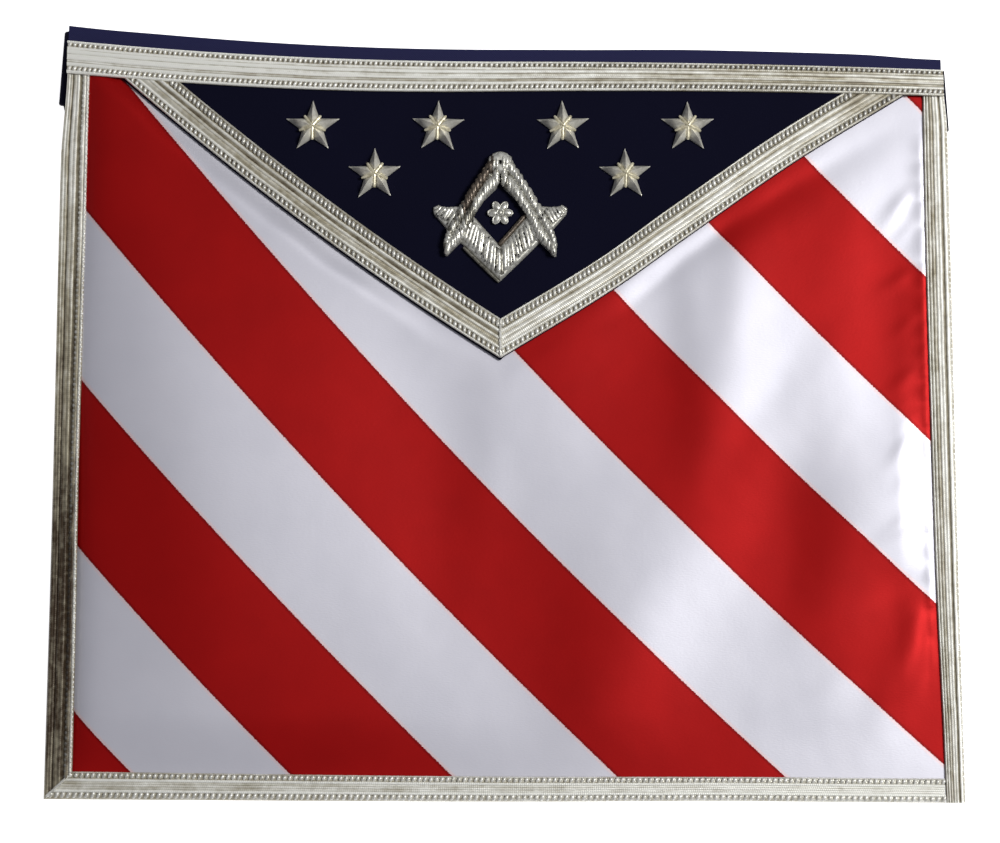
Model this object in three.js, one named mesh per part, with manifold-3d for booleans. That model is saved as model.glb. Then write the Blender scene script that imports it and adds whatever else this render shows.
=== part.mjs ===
// Lodge apron lying flat with its face up: a striped satin panel, a pointed velvet flap,
// metal braid, six padded stars, a raised emblem, and the waist belt folded behind.
// Millimetres. X runs across the apron, Y from the hem up to the waist, Z up from the table.
import * as THREE from 'three';
import { mergeVertices } from 'three/addons/utils/BufferGeometryUtils.js';
import Module from 'manifold-3d';

const wasm = await Module();
wasm.setup();

// Apron body
const apronWidth = 404.4;         // over the rolled side braids
const apronHeight = 333.3;        // hem to the waist braid's upper edge, on the centre line
const waistLeftRise = 9.8;        // the waist line climbs this much to the left corner
const waistRightDrop = 4.5;       // and falls this much to the right corner, where the cloth puckers
const panelThickness = 1.0;       // satin over its interfacing
const clearance = 0.3;            // between neighbouring pieces
const drapeLength = 240;          // length over which the panel slopes from the belt to the table
const foldRise = 2.4;             // tallest pucker beside the right braid
const foldLength = 60;            // longest of those puckers
const foldWidth = 16;             // and the widest

// Braid
const braidRise = 1.4;            // thickness over its rope edges
const lapThickness = 0.9;         // part of a rolled braid that lies behind the panel
const rollWall = 1.0;             // braid wall where it turns round the panel's edge
const waistBraidWidth = 14.0;
const leftBraidWidth = 12.0;
const rightBraidWidth = 10.2;
const hemBraidWidth = 11.5;
const flapBraidWidth = 15.2;
const lapWidth = 9.0;

// Flap
const flapThickness = 1.2;        // velvet and its backing
const flapAxis = -1.9;            // the point hangs a little left of the middle
const flapTipHeight = 195.8;      // from the hem
const flapLeftReach = 172.0;      // centre line to where the edge meets the waist braid
const flapRightReach = 185.3;
const flapLeftBow = 5.2;          // the left edge bows outward
const flapRightSway = 2.5;        // the right edge wanders to both sides of its line
const tuck = 1.5;                 // panel and flap stop this far short of the waist braid's upper edge

// Stars
const starRadius = 13.0;
const starHeight = 2.6;
const starEdge = 0.7;             // height of the padding at its outline
const starPitch = 56.9;
const upperStarHeight = 302.0;    // upper row's centres, from the hem
const lowerStarHeight = 279.8;
const cordWidth = 1.2;            // cords laid between the arms
const cordRise = 0.6;             // height of a cord above the padding

// Emblem
const squareHalfWidth = 30.4;
const squareHeight = 35.4;
const squareFoot = 230.7;         // its lower point, from the hem
const squareRise = 2.3;
const compassSpread = 24.8;       // centre line to a leg's outer side
const compassHeight = 48.0;
const compassFoot = 242.2;        // the legs' points, from the hem
const compassRise = 4.0;
const headRadius = 5.4;
const pinRadius = 0.9;            // eyelet at the pivot
const pinDepth = 1.6;
const padEdge = 0.9;              // height of a padded outline before it rounds in
const padInset = 1.0;             // width of that rounding
const rosetteRadius = 5.6;
const rosetteHeight = 262.0;      // its centre, from the hem
const rosetteRise = 2.0;

// Belt
const beltWidth = 36.0;
const beltThickness = 1.2;
const beltShow = 6.6;             // width of belt seen above the waist braid
const beltLeftRise = 12.0;        // its edge climbs a little more than the waist line
const beltLeftProud = 2.6;        // how far the folds stand out past the side braids
const beltRightProud = 1.8;
const beltBackDrop = 5.0;         // the back run lies this much lower, out of sight with its clasp
const beltDrop = 30.0;            // length over which an end rises into the clasp
const claspWidth = 40.0;
const claspThickness = 3.4;
const claspRim = 4.0;             // solid metal past each edge of the belt
const claspBridge = 6.0;          // solid metal between the two ends

// Mesh fineness
const panelColumns = 26;
const panelRows = 32;
const columnCrowding = 0.45;      // draws the columns together towards the puckered side
const flapColumns = 12;
const flapRows = 6;
const waistStations = 14;
const sideStations = 10;
const hemStations = 6;
const flapBraidStations = 12;
const beltStations = 24;
const backStations = 6;
const foldStations = 6;
const dropStations = 4;
const roundSides = 24;
const bisections = 40;

// Derived sizes
const halfWidth = apronWidth / 2;
const beltFrontTop = claspThickness + clearance + beltThickness;
const lowBed = lapThickness + clearance;
const highBed = beltFrontTop + clearance + lapThickness + clearance;
const edgeInset = rollWall + clearance;
const openLeft = -halfWidth + leftBraidWidth + clearance;    // satin shows between these lines
const openRight = halfWidth - rightBraidWidth - clearance;
const openFoot = hemBraidWidth + clearance;
const overPanel = panelThickness + clearance;
const overFlap = overPanel + flapThickness + clearance;
const underWaistBraid = overPanel + Math.max(flapThickness, braidRise) + clearance;

// Section of the braid across its face: two rope edges and three smooth ribs.
// across is a share of the width and rise a share of braidRise.
const braidFace = [
  { across: 0.00, rise: 0.50 },
  { across: 0.04, rise: 0.92 },
  { across: 0.10, rise: 1.00 },
  { across: 0.17, rise: 0.88 },
  { across: 0.21, rise: 0.55 },
  { across: 0.31, rise: 0.84 },
  { across: 0.41, rise: 0.58 },
  { across: 0.50, rise: 0.84 },
  { across: 0.59, rise: 0.58 },
  { across: 0.69, rise: 0.84 },
  { across: 0.79, rise: 0.55 },
  { across: 0.83, rise: 0.88 },
  { across: 0.90, rise: 1.00 },
  { across: 0.96, rise: 0.92 },
  { across: 1.00, rise: 0.50 },
];

// The waist braid narrows to the right. across is a share of halfWidth.
const waistBraidTaper = [
  { across: -1.0, width: 1.10 },
  { across: -0.4, width: 1.07 },
  { across: 0.0, width: 1.00 },
  { across: 0.5, width: 0.93 },
  { across: 1.0, width: 0.88 },
];

// Sway of the flap's right edge. along is a share of flapRightReach, off of flapRightSway.
const flapSwayRows = [
  { along: 0.00, off: 0.0 },
  { along: 0.28, off: -0.8 },
  { along: 0.45, off: 0.0 },
  { along: 0.72, off: 1.0 },
  { along: 1.00, off: 0.3 },
  { along: 1.15, off: 0.0 },
];

// Puckers and soft swells of the panel. across is a share of halfWidth, up of apronHeight,
// turn is degrees from the X axis, long, wide and rise are shares of the fold sizes.
const folds = [
  { across: 0.890, up: 0.785, turn: 62, long: 0.65, wide: 0.65, rise: 0.85 },
  { across: 0.905, up: 0.705, turn: 74, long: 0.60, wide: 0.75, rise: 1.00 },
  { across: 0.870, up: 0.570, turn: 52, long: 1.00, wide: 0.90, rise: 1.00 },
  { across: 0.905, up: 0.458, turn: 40, long: 0.55, wide: 0.75, rise: 0.80 },
  { across: 0.915, up: 0.350, turn: 30, long: 0.42, wide: 0.62, rise: 0.75 },
  { across: 0.915, up: 0.290, turn: 24, long: 0.42, wide: 0.62, rise: 0.65 },
  { across: 0.920, up: 0.225, turn: 20, long: 0.40, wide: 0.62, rise: 0.60 },
  { across: 0.430, up: 0.640, turn: 82, long: 2.00, wide: 3.20, rise: 0.55 },
  { across: -0.075, up: 0.540, turn: 58, long: 1.70, wide: 3.60, rise: 0.45 },
];

// Half of the square, from its foot up the outer side, over the wing and back down the inner side.
// across is a share of squareHalfWidth, up of squareHeight.
const squareHalf = [
  { across: 0.30, up: 0.25 },
  { across: 0.59, up: 0.50 },
  { across: 0.78, up: 0.66 },
  { across: 0.99, up: 0.87 },
  { across: 1.00, up: 0.93 },
  { across: 0.93, up: 0.98 },
  { across: 0.78, up: 0.96 },
  { across: 0.68, up: 1.00 },
  { across: 0.58, up: 0.98 },
  { across: 0.37, up: 0.82 },
  { across: 0.19, up: 0.64 },
];
const squareInnerFoot = 0.455;    // inner corner, as a share of squareHeight

// One compass leg, from the pivot down the outer side and back up past the scroll.
// across is a share of compassSpread, up of compassHeight.
const compassLeg = [
  { across: 0.14, up: 0.955 },
  { across: 0.40, up: 0.755 },
  { across: 0.64, up: 0.560 },
  { across: 0.78, up: 0.420 },
  { across: 0.93, up: 0.240 },
  { across: 1.00, up: 0.120 },
  { across: 1.00, up: 0.000 },
  { across: 0.83, up: 0.050 },
  { across: 0.72, up: 0.150 },
  { across: 0.62, up: 0.275 },
  { across: 0.52, up: 0.395 },
  { across: 0.36, up: 0.520 },
  { across: 0.28, up: 0.570 },
  { across: 0.14, up: 0.590 },
  { across: 0.05, up: 0.650 },
  { across: 0.05, up: 0.780 },
];

// Colours and finishes
const satin = new THREE.MeshStandardMaterial({ color: 0xb4161c, roughness: 0.38, metalness: 0.0 });
const velvet = new THREE.MeshStandardMaterial({ color: 0x10102a, roughness: 0.95, metalness: 0.0 });
const webbing = new THREE.MeshStandardMaterial({ color: 0x1e1e50, roughness: 0.8, metalness: 0.0 });
const braid = new THREE.MeshStandardMaterial({ color: 0xcdcdbe, roughness: 0.42, metalness: 0.7 });
const bullion = new THREE.MeshStandardMaterial({ color: 0xd6d3bd, roughness: 0.4, metalness: 0.75 });
const nickel = new THREE.MeshStandardMaterial({ color: 0xb8b8b4, roughness: 0.3, metalness: 1.0 });

// Value of a table's column at a share, on a smooth curve through its rows.
function readTable(rows, key, value, share) {
  const places = rows.map((row) => row[key]);
  const values = rows.map((row) => row[value]);
  return new THREE.CubicInterpolant(places, values, 1).evaluate(share)[0];
}

const { lerp, clamp, smoothstep, degToRad } = THREE.MathUtils;

// Upper edge of the waist braid
function waistLine(x) {
  const u = x / halfWidth;
  return apronHeight + (x < 0 ? waistLeftRise : -waistRightDrop) * u * u;
}

function waistBraidFoot(x) {
  return waistLine(x) - waistBraidWidth * readTable(waistBraidTaper, 'across', 'width', x / halfWidth);
}

// Upper edge of the belt, which shows above the waist braid
function beltLine(x) {
  const u = x / halfWidth;
  return apronHeight + beltShow + (x < 0 ? beltLeftRise : -waistRightDrop) * u * u;
}

// Outer edge of the flap
function flapEdge(x) {
  if (x < flapAxis) {
    const u = (flapAxis - x) / flapLeftReach;
    const corner = waistBraidFoot(flapAxis - flapLeftReach);
    return lerp(flapTipHeight, corner, u) - 4 * flapLeftBow * u * (1 - u);
  }
  const u = (x - flapAxis) / flapRightReach;
  const corner = waistBraidFoot(flapAxis + flapRightReach);
  return lerp(flapTipHeight, corner, u) + flapRightSway * readTable(flapSwayRows, 'along', 'off', u);
}

// Height of the panel's underside without its puckers: up on the belt, down on the table
function bed(x, y) {
  const beltFoot = beltLine(x) - beltWidth - clearance;
  return lerp(lowBed, highBed, smoothstep(y, beltFoot - drapeLength, beltFoot));
}

// Puckers raise the panel only, and fade out before the braids and the flap
function puckers(x, y) {
  let rise = 0;
  for (const fold of folds) {
    const turn = degToRad(fold.turn);
    const dx = x - fold.across * halfWidth;
    const dy = y - fold.up * apronHeight;
    const along = (dx * Math.cos(turn) + dy * Math.sin(turn)) / (fold.long * foldLength / 2);
    const aside = (dy * Math.cos(turn) - dx * Math.sin(turn)) / (fold.wide * foldWidth / 2);
    rise += fold.rise * foldRise * Math.exp(-along * along - aside * aside);
  }
  const fade = foldWidth / 2;
  const fromRight = openRight - x;
  const fromLeft = x - openLeft;
  const fromHem = y - openFoot;
  const fromFlap = flapEdge(x) - apronHeight / panelRows - y;
  return rise * [fromRight, fromLeft, fromHem, fromFlap]
    .reduce((product, distance) => product * smoothstep(distance, 0, fade), 1);
}

// A closed body from rings of vertices, one ring for each place of a section; both ends are capped
function loft(rings, section) {
  const count = section.length;
  const clockwise = THREE.ShapeUtils.isClockWise(section);
  const cap = THREE.ShapeUtils.triangulateShape(section, [])
    .map(([a, b, c]) => (clockwise ? [a, c, b] : [a, b, c]));
  const positions = rings.flat().flatMap((p) => [p.x, p.y, p.z]);
  const index = [];
  for (let i = 0; i + 1 < rings.length; i++) {
    for (let j = 0; j < count; j++) {
      const a = i * count + j;
      const b = i * count + (j + 1) % count;
      index.push(a, b, a + count, b, b + count, a + count);
    }
  }
  const last = (rings.length - 1) * count;
  for (const [a, b, c] of cap) {
    index.push(a, c, b, last + a, last + b, last + c);
  }
  return outward(positions, index);
}

// Indexed geometry with its faces turned outward
function outward(positions, index) {
  let volume = 0;
  const corner = (k) => new THREE.Vector3().fromArray(positions, index[k] * 3);
  for (let k = 0; k < index.length; k += 3) {
    volume += corner(k).dot(corner(k + 1).cross(corner(k + 2)));
  }
  if (volume < 0) {
    index.reverse();
  }
  const geometry = new THREE.BufferGeometry();
  geometry.setAttribute('position', new THREE.Float32BufferAttribute(positions, 3));
  geometry.setIndex(index);
  return geometry;
}

// A wall of cloth over a grid: planAt gives x and y, underAt the height of its lower face
function clothWall(columns, rows, planAt, underAt, thickness) {
  const positions = [];
  for (const offset of [0, thickness]) {
    for (let i = 0; i <= columns; i++) {
      for (let j = 0; j <= rows; j++) {
        const { x, y } = planAt(i / columns, j / rows);
        positions.push(x, y, underAt(x, y) + offset);
      }
    }
  }
  const layer = (columns + 1) * (rows + 1);
  const at = (i, j) => i * (rows + 1) + j;
  const index = [];
  for (let i = 0; i < columns; i++) {
    for (let j = 0; j < rows; j++) {
      const [a, b, c, d] = [at(i, j), at(i + 1, j), at(i + 1, j + 1), at(i, j + 1)];
      index.push(a, c, b, a, d, c);
      index.push(a + layer, b + layer, c + layer, a + layer, c + layer, d + layer);
    }
  }
  const rim = [];
  for (let i = 0; i < columns; i++) rim.push(at(i, 0));
  for (let j = 0; j < rows; j++) rim.push(at(columns, j));
  for (let i = columns; i > 0; i--) rim.push(at(i, rows));
  for (let j = rows; j > 0; j--) rim.push(at(0, j));
  rim.forEach((a, k) => {
    const b = rim[(k + 1) % rim.length];
    index.push(a, b, a + layer, b, b + layer, a + layer);
  });
  return outward(positions, index);
}

// A braid: each point of its section runs along its own line of planAt, at a height over the bed
function sweepBraid(section, stations, planAt) {
  const rings = [];
  for (let i = 0; i <= stations; i++) {
    rings.push(section.map(({ x: across, y: rise }) => {
      const { x, y } = planAt(across, i / stations);
      return new THREE.Vector3(x, y, bed(x, y) + rise);
    }));
  }
  return loft(rings, section);
}

function braidTop(width, base, from = 0) {
  return braidFace
    .filter((row) => row.across * width >= from)
    .map((row) => new THREE.Vector2(row.across * width, base + row.rise * braidRise));
}

// Braid laid flat: ribbed above, flat below
function flatSection(width, base) {
  return [...braidTop(width, base), new THREE.Vector2(width, base), new THREE.Vector2(0, base)];
}

// Braid rolled round the panel's edge: face above, a half-round at the edge, a lap behind
function rolledSection(width) {
  const top = overPanel + braidRise;
  const foot = -clearance - lapThickness;
  const radius = (top - foot) / 2;
  const centre = (top + foot) / 2;
  const roll = [];
  for (const share of [0.1, 0.3, 0.5, 0.7, 0.9]) {
    const turn = Math.PI * share;
    roll.push(new THREE.Vector2(radius - radius * Math.sin(turn), centre - radius * Math.cos(turn)));
  }
  return [
    new THREE.Vector2(width, overPanel),
    new THREE.Vector2(rollWall, overPanel),
    new THREE.Vector2(rollWall, -clearance),
    new THREE.Vector2(lapWidth, -clearance),
    new THREE.Vector2(lapWidth, foot),
    ...roll,
    ...braidTop(width, overPanel, radius),
  ];
}

// Sharpened corner offset of an outline, inward for a positive distance
function insetOutline(outline, distance) {
  return outline.map((point, k) => {
    const before = outline[(k + outline.length - 1) % outline.length];
    const after = outline[(k + 1) % outline.length];
    const into = point.clone().sub(before).normalize();
    const out = after.clone().sub(point).normalize();
    const normal = new THREE.Vector2(-into.y - out.y, into.x + out.x).normalize();
    const slant = Math.max(normal.dot(new THREE.Vector2(-out.y, out.x)), 0.5);
    return point.clone().addScaledVector(normal, distance / slant);
  });
}

// A padded piece on an outline: straight edge, rounded shoulder, flat crown. foot is its lower face
function padded(outline, rise, edge, inset, foot = 0) {
  const loop = THREE.ShapeUtils.isClockWise(outline) ? outline.slice().reverse() : outline;
  const ring = (points, z) => points.map((p) => new THREE.Vector3(p.x, p.y, z));
  const rings = [
    ring(loop, foot),
    ring(loop, foot + edge),
    ring(insetOutline(loop, inset * 0.35), foot + lerp(edge, rise, 0.7)),
    ring(insetOutline(loop, inset), foot + rise),
  ];
  return loft(rings, loop);
}

// Closed mesh to solid and back, for cuts and joins
function toSolid(geometry) {
  const plain = new THREE.BufferGeometry();
  plain.setAttribute('position', geometry.getAttribute('position').clone());
  plain.setIndex(geometry.getIndex());
  const merged = mergeVertices(plain, 1e-4);
  return new wasm.Manifold(new wasm.Mesh({
    numProp: 3,
    vertProperties: new Float32Array(merged.getAttribute('position').array),
    triVerts: new Uint32Array(merged.getIndex().array),
  }));
}

function toGeometry(solid) {
  const mesh = solid.getMesh();
  const geometry = new THREE.BufferGeometry();
  geometry.setAttribute('position', new THREE.Float32BufferAttribute(mesh.vertProperties, 3));
  geometry.setIndex(Array.from(mesh.triVerts));
  return geometry;
}

// Lays a piece made on a flat base onto the flap
function layOnFlap(geometry) {
  const points = geometry.getAttribute('position');
  for (let k = 0; k < points.count; k++) {
    points.setZ(k, points.getZ(k) + bed(points.getX(k), points.getY(k)) + overFlap);
  }
  return geometry;
}

const group = new THREE.Group();

function addPiece(name, geometry, material) {
  const mesh = new THREE.Mesh(geometry, material.clone());
  mesh.name = name;
  group.add(mesh);
}

// Panel: its first and last columns and its first row lie under the braids
const panelEnd = halfWidth - edgeInset;
addPiece('panel', clothWall(panelColumns, panelRows, (across, up) => {
  const open = (across * panelColumns - 1) / (panelColumns - 2);
  const crowded = open * (1 + columnCrowding * (1 - open));
  let x = lerp(openLeft, openRight, crowded);
  if (across === 0) x = -panelEnd;
  if (across === 1) x = panelEnd;
  const rise = (up * panelRows - 1) / (panelRows - 1);
  return { x, y: up === 0 ? edgeInset : lerp(openFoot, waistLine(x) - tuck, rise) };
}, (x, y) => bed(x, y) + puckers(x, y), panelThickness), satin);

// Last place between two x values, inner first, at which a test holds
function lastWhere(inner, outer, holds) {
  if (holds(outer)) {
    return outer;
  }
  let [inside, outside] = [inner, outer];
  for (let k = 0; k < bisections; k++) {
    const middle = (inside + outside) / 2;
    if (holds(middle)) inside = middle;
    else outside = middle;
  }
  return inside;
}

// Flap: its corners end where the edge meets the tucked top, or at the side braids
const flapIsTall = (x) => waistLine(x) - tuck - flapEdge(x) > tuck;
const flapStart = lastWhere(flapAxis, openLeft, flapIsTall);
const flapEnd = lastWhere(flapAxis, openRight, flapIsTall);
addPiece('flap', clothWall(2 * flapColumns, flapRows, (across, up) => {
  const x = across < 0.5 ? lerp(flapStart, flapAxis, 2 * across) : lerp(flapAxis, flapEnd, 2 * across - 1);
  return { x, y: lerp(flapEdge(x), waistLine(x) - tuck, up) };
}, (x, y) => bed(x, y) + overPanel, flapThickness), velvet);

// Waist braid
const waistBraidEnd = halfWidth - clearance;
addPiece('waist_braid', sweepBraid(flatSection(waistBraidWidth, underWaistBraid), waistStations, (t, share) => {
  const x = lerp(-waistBraidEnd, waistBraidEnd, share);
  return { x, y: lerp(waistLine(x), waistBraidFoot(x), t / waistBraidWidth) };
}), braid);

// Side braids run from the hem up under the waist braid; the left one is mitred into the hem braid
addPiece('left_braid', sweepBraid(rolledSection(leftBraidWidth), sideStations, (t, share) => {
  const x = -halfWidth + t;
  const mitre = t * hemBraidWidth / leftBraidWidth + clearance;
  return { x, y: lerp(mitre, waistLine(x) - tuck, share) };
}), braid);

addPiece('right_braid', sweepBraid(rolledSection(rightBraidWidth), sideStations, (t, share) => {
  const x = halfWidth - t;
  return { x, y: lerp(0, waistLine(x) - tuck, share) };
}), braid);

// Hem braid: mitred on the left, butted against the side braid on the right
addPiece('hem_braid', sweepBraid(rolledSection(hemBraidWidth), hemStations, (t, share) => {
  const mitre = -halfWidth + t * leftBraidWidth / hemBraidWidth;
  return { x: lerp(mitre, halfWidth - rightBraidWidth - clearance, share), y: t };
}), braid);

// Flap braids: mitred on the centre line, butted against the waist braid's lower edge
function flapBraid(side) {
  const lineAt = (x, t) => {
    const step = side * clearance;
    const slope = (flapEdge(x + step) - flapEdge(x)) / step;
    return flapEdge(x) + t * Math.hypot(1, slope);
  };
  return sweepBraid(flatSection(flapBraidWidth, overFlap), flapBraidStations, (t, share) => {
    const start = flapAxis + side * clearance / 2;
    const end = lastWhere(start, side * halfWidth, (x) => lineAt(x, t) < waistBraidFoot(x) - clearance);
    const x = lerp(start, end, share);
    return { x, y: lineAt(x, t) };
  });
}
addPiece('flap_braid_left', flapBraid(-1), braid);
addPiece('flap_braid_right', flapBraid(1), braid);

// Stars: five padded arms with a ridge each, and a cord laid in each valley between them
function starGeometry() {
  const notchRadius = starRadius * 0.42;
  const ringAt = (radius, z, phase) => {
    const points = [];
    for (let k = 0; k < 5; k++) {
      const turn = Math.PI / 2 + (k + phase) * 2 * Math.PI / 5;
      points.push(new THREE.Vector3(radius * Math.cos(turn), radius * Math.sin(turn), z));
    }
    return points;
  };
  const points = [
    new THREE.Vector3(0, 0, 0),
    new THREE.Vector3(0, 0, starHeight),
    ...ringAt(starRadius, 0, 0),
    ...ringAt(notchRadius, 0, 0.5),
    ...ringAt(starRadius, starEdge, 0),
    ...ringAt(notchRadius, starEdge, 0.5),
    ...ringAt(starRadius * 0.45, starHeight, 0),
    ...ringAt(starRadius * 0.82, lerp(starEdge, starHeight, 0.6), 0),
  ];
  const [tipFoot, notchFoot, tip, notch, ridge, crest] = [2, 7, 12, 17, 22, 27];
  const index = [];
  for (let k = 0; k < 5; k++) {
    const before = (k + 4) % 5;
    for (const [n, flip] of [[k, false], [before, true]]) {
      const faces = [
        [0, notchFoot + n, tipFoot + k],
        [tipFoot + k, notchFoot + n, notch + n],
        [tipFoot + k, notch + n, tip + k],
        [tip + k, notch + n, crest + k],
        [crest + k, notch + n, ridge + k],
        [ridge + k, notch + n, 1],
      ];
      faces.forEach(([a, b, c]) => index.push(...(flip ? [a, c, b] : [a, b, c])));
    }
  }
  let star = toSolid(outward(points.flatMap((p) => p.toArray()), index));
  const cordEnd = notchRadius + cordWidth;
  for (let k = 0; k < 5; k++) {
    const turn = Math.PI / 2 + (k + 0.5) * 2 * Math.PI / 5;
    star = star.add(toSolid(cordGeometry(turn, cordEnd)));
  }
  return toGeometry(star);
}

// A short cord from the star's centre out over a notch, flat below and narrower above
function cordGeometry(turn, length) {
  const section = [
    new THREE.Vector2(-cordWidth / 2, 0),
    new THREE.Vector2(cordWidth / 2, 0),
    new THREE.Vector2(cordWidth / 4, 1),
    new THREE.Vector2(-cordWidth / 4, 1),
  ];
  const rings = [0, 1].map((share) => section.map(({ x: aside, y: up }) => {
    const out = share * length;
    const height = lerp(starHeight, starEdge, share) + cordRise;
    return new THREE.Vector3(
      out * Math.cos(turn) - aside * Math.sin(turn),
      out * Math.sin(turn) + aside * Math.cos(turn),
      up * height,
    );
  }));
  return loft(rings, section);
}

// Star places: across in pitches from the flap's centre line
const starPlaces = [
  { across: -1.5, height: upperStarHeight },
  { across: -0.5, height: upperStarHeight },
  { across: 0.5, height: upperStarHeight },
  { across: 1.5, height: upperStarHeight },
  { across: -1, height: lowerStarHeight },
  { across: 1, height: lowerStarHeight },
];
starPlaces.forEach((place, k) => {
  const star = starGeometry();
  star.translate(flapAxis + place.across * starPitch, place.height, 0);
  addPiece(`star_${k + 1}`, layOnFlap(star), bullion);
});

// Square
function squareOutline(grow = 0) {
  const row = (side) => ({ across, up }) => new THREE.Vector2(
    flapAxis + side * across * squareHalfWidth,
    squareFoot + up * squareHeight,
  );
  const outline = [
    row(1)({ across: 0, up: 0 }),
    ...squareHalf.map(row(1)),
    row(1)({ across: 0, up: squareInnerFoot }),
    ...squareHalf.slice().reverse().map(row(-1)),
  ];
  return insetOutline(outline, -grow);
}
addPiece('square', layOnFlap(padded(squareOutline(), squareRise, padEdge, padInset)), bullion);

// Compass: the legs pass over the square, and the pivot's round head sits between them
const headHeight = compassFoot + compassHeight - headRadius;
const roundCut = (radius, height) => {
  const cylinder = new THREE.CylinderGeometry(radius, radius, height, roundSides);
  cylinder.rotateX(Math.PI / 2);
  cylinder.translate(flapAxis, headHeight, 0);
  return toSolid(cylinder);
};
const squareRoom = toSolid(padded(squareOutline(clearance), squareRise + 2 * clearance,
  padEdge + clearance, padInset, -clearance));
for (const [name, side] of [['compass_leg_left', -1], ['compass_leg_right', 1]]) {
  const outline = compassLeg.map(({ across, up }) => new THREE.Vector2(
    flapAxis + side * across * compassSpread,
    compassFoot + up * compassHeight,
  ));
  const leg = toSolid(padded(outline, compassRise, padEdge, padInset))
    .subtract(squareRoom)
    .subtract(roundCut(headRadius + clearance, 4 * compassRise));
  addPiece(name, layOnFlap(toGeometry(leg)), bullion);
}

function headGeometry() {
  const profile = [
    [0, 0],
    [headRadius, 0],
    [headRadius, padEdge],
    [headRadius - padInset * 0.4, lerp(padEdge, compassRise, 0.65)],
    [headRadius - padInset * 1.4, compassRise],
    [pinRadius, compassRise],
    [pinRadius, compassRise - pinDepth],
    [0, compassRise - pinDepth],
  ].map(([radius, height]) => new THREE.Vector2(radius, height));
  const head = new THREE.LatheGeometry(profile, roundSides);
  head.rotateX(Math.PI / 2);
  head.translate(flapAxis, headHeight, 0);
  return toGeometry(toSolid(head));
}
addPiece('compass_head', layOnFlap(headGeometry()), bullion);

// Rosette between the compass and the square: six petals round a boss
const petals = 6;
const pointsPerPetal = 4;
const rosetteOutline = (radius, scallop) => {
  const points = [];
  for (let k = 0; k < petals * pointsPerPetal; k++) {
    const turn = k / (petals * pointsPerPetal) * 2 * Math.PI;
    const reach = radius * (1 - scallop * (1 - Math.abs(Math.cos(turn * petals / 2))));
    points.push(new THREE.Vector2(flapAxis + reach * Math.cos(turn), rosetteHeight + reach * Math.sin(turn)));
  }
  return points;
};
const rosette = toSolid(padded(rosetteOutline(rosetteRadius, 0.3), rosetteRise, padEdge / 2, padInset))
  .add(toSolid(padded(rosetteOutline(rosetteRadius * 0.34, 0), rosetteRise * 1.4, rosetteRise, padInset / 2)));
addPiece('rosette', layOnFlap(toGeometry(rosette)), bullion);

// Belt: one length of webbing from the clasp round both folds and back to the clasp
const foldRadius = (beltFrontTop - beltThickness) / 2;
const foldOuter = beltFrontTop / 2;
const rightFold = halfWidth + beltRightProud - foldOuter;
const leftFold = -halfWidth - beltLeftProud + foldOuter;
const claspMiddle = claspThickness / 2;
const floorRun = beltThickness / 2;
const frontRun = beltFrontTop - beltThickness / 2;

// Height of the front run: it hugs the panel between the laps of the side braids
function frontHeight(x) {
  const spare = lapThickness + clearance;
  const lap = halfWidth - Math.max(lapWidth, leftBraidWidth);
  return frontRun + spare * (1 - smoothstep(Math.abs(x), lap - beltWidth, lap));
}

// Height of the back run: on the table, and up into the clasp at its inner end
function backHeight(x) {
  return lerp(claspMiddle, floorRun, smoothstep(Math.abs(x), claspWidth / 2 + clearance, claspWidth / 2 + beltDrop));
}

function beltPath() {
  const path = [];
  const dropEnd = claspWidth / 2 + beltDrop;
  const backPlaces = [claspBridge / 2 + clearance, claspWidth / 2];
  for (let k = 1; k <= dropStations; k++) {
    backPlaces.push(lerp(claspWidth / 2, dropEnd, k / dropStations));
  }
  for (let k = 1; k < backStations; k++) {
    backPlaces.push(lerp(dropEnd, rightFold, k / backStations));
  }
  const foldTo = (centre, from, to) => {
    for (let k = 0; k <= foldStations; k++) {
      const turn = lerp(from, to, k / foldStations);
      path.push({
        x: centre + foldRadius * Math.cos(turn),
        z: floorRun + foldRadius * (1 + Math.sin(turn)),
        drop: beltBackDrop * (1 - Math.sin(turn)) / 2,
      });
    }
  };
  backPlaces.forEach((x) => path.push({ x, z: backHeight(x), drop: beltBackDrop }));
  foldTo(rightFold, -Math.PI / 2, Math.PI / 2);
  for (let k = 1; k < beltStations; k++) {
    const x = lerp(rightFold, leftFold, k / beltStations);
    path.push({ x, z: frontHeight(x), drop: 0 });
  }
  foldTo(leftFold, Math.PI / 2, 1.5 * Math.PI);
  backPlaces.slice().reverse().forEach((x) => path.push({ x: -x, z: backHeight(x), drop: beltBackDrop }));
  return path;
}

function beltGeometry() {
  const path = beltPath();
  const section = [[-1, -1], [1, -1], [1, 1], [-1, 1]].map(([a, b]) => new THREE.Vector2(a, b));
  const rings = path.map((place, k) => {
    const before = path[Math.max(k - 1, 0)];
    const after = path[Math.min(k + 1, path.length - 1)];
    const run = new THREE.Vector2(after.x - before.x, after.z - before.z).normalize();
    const middle = beltLine(clamp(place.x, -halfWidth, halfWidth)) - beltWidth / 2 - place.drop;
    return section.map(({ x: aside, y: up }) => new THREE.Vector3(
      place.x - up * beltThickness / 2 * run.y,
      middle + aside * beltWidth / 2,
      place.z + up * beltThickness / 2 * run.x,
    ));
  });
  return loft(rings, section);
}
addPiece('belt', beltGeometry(), webbing);

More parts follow.
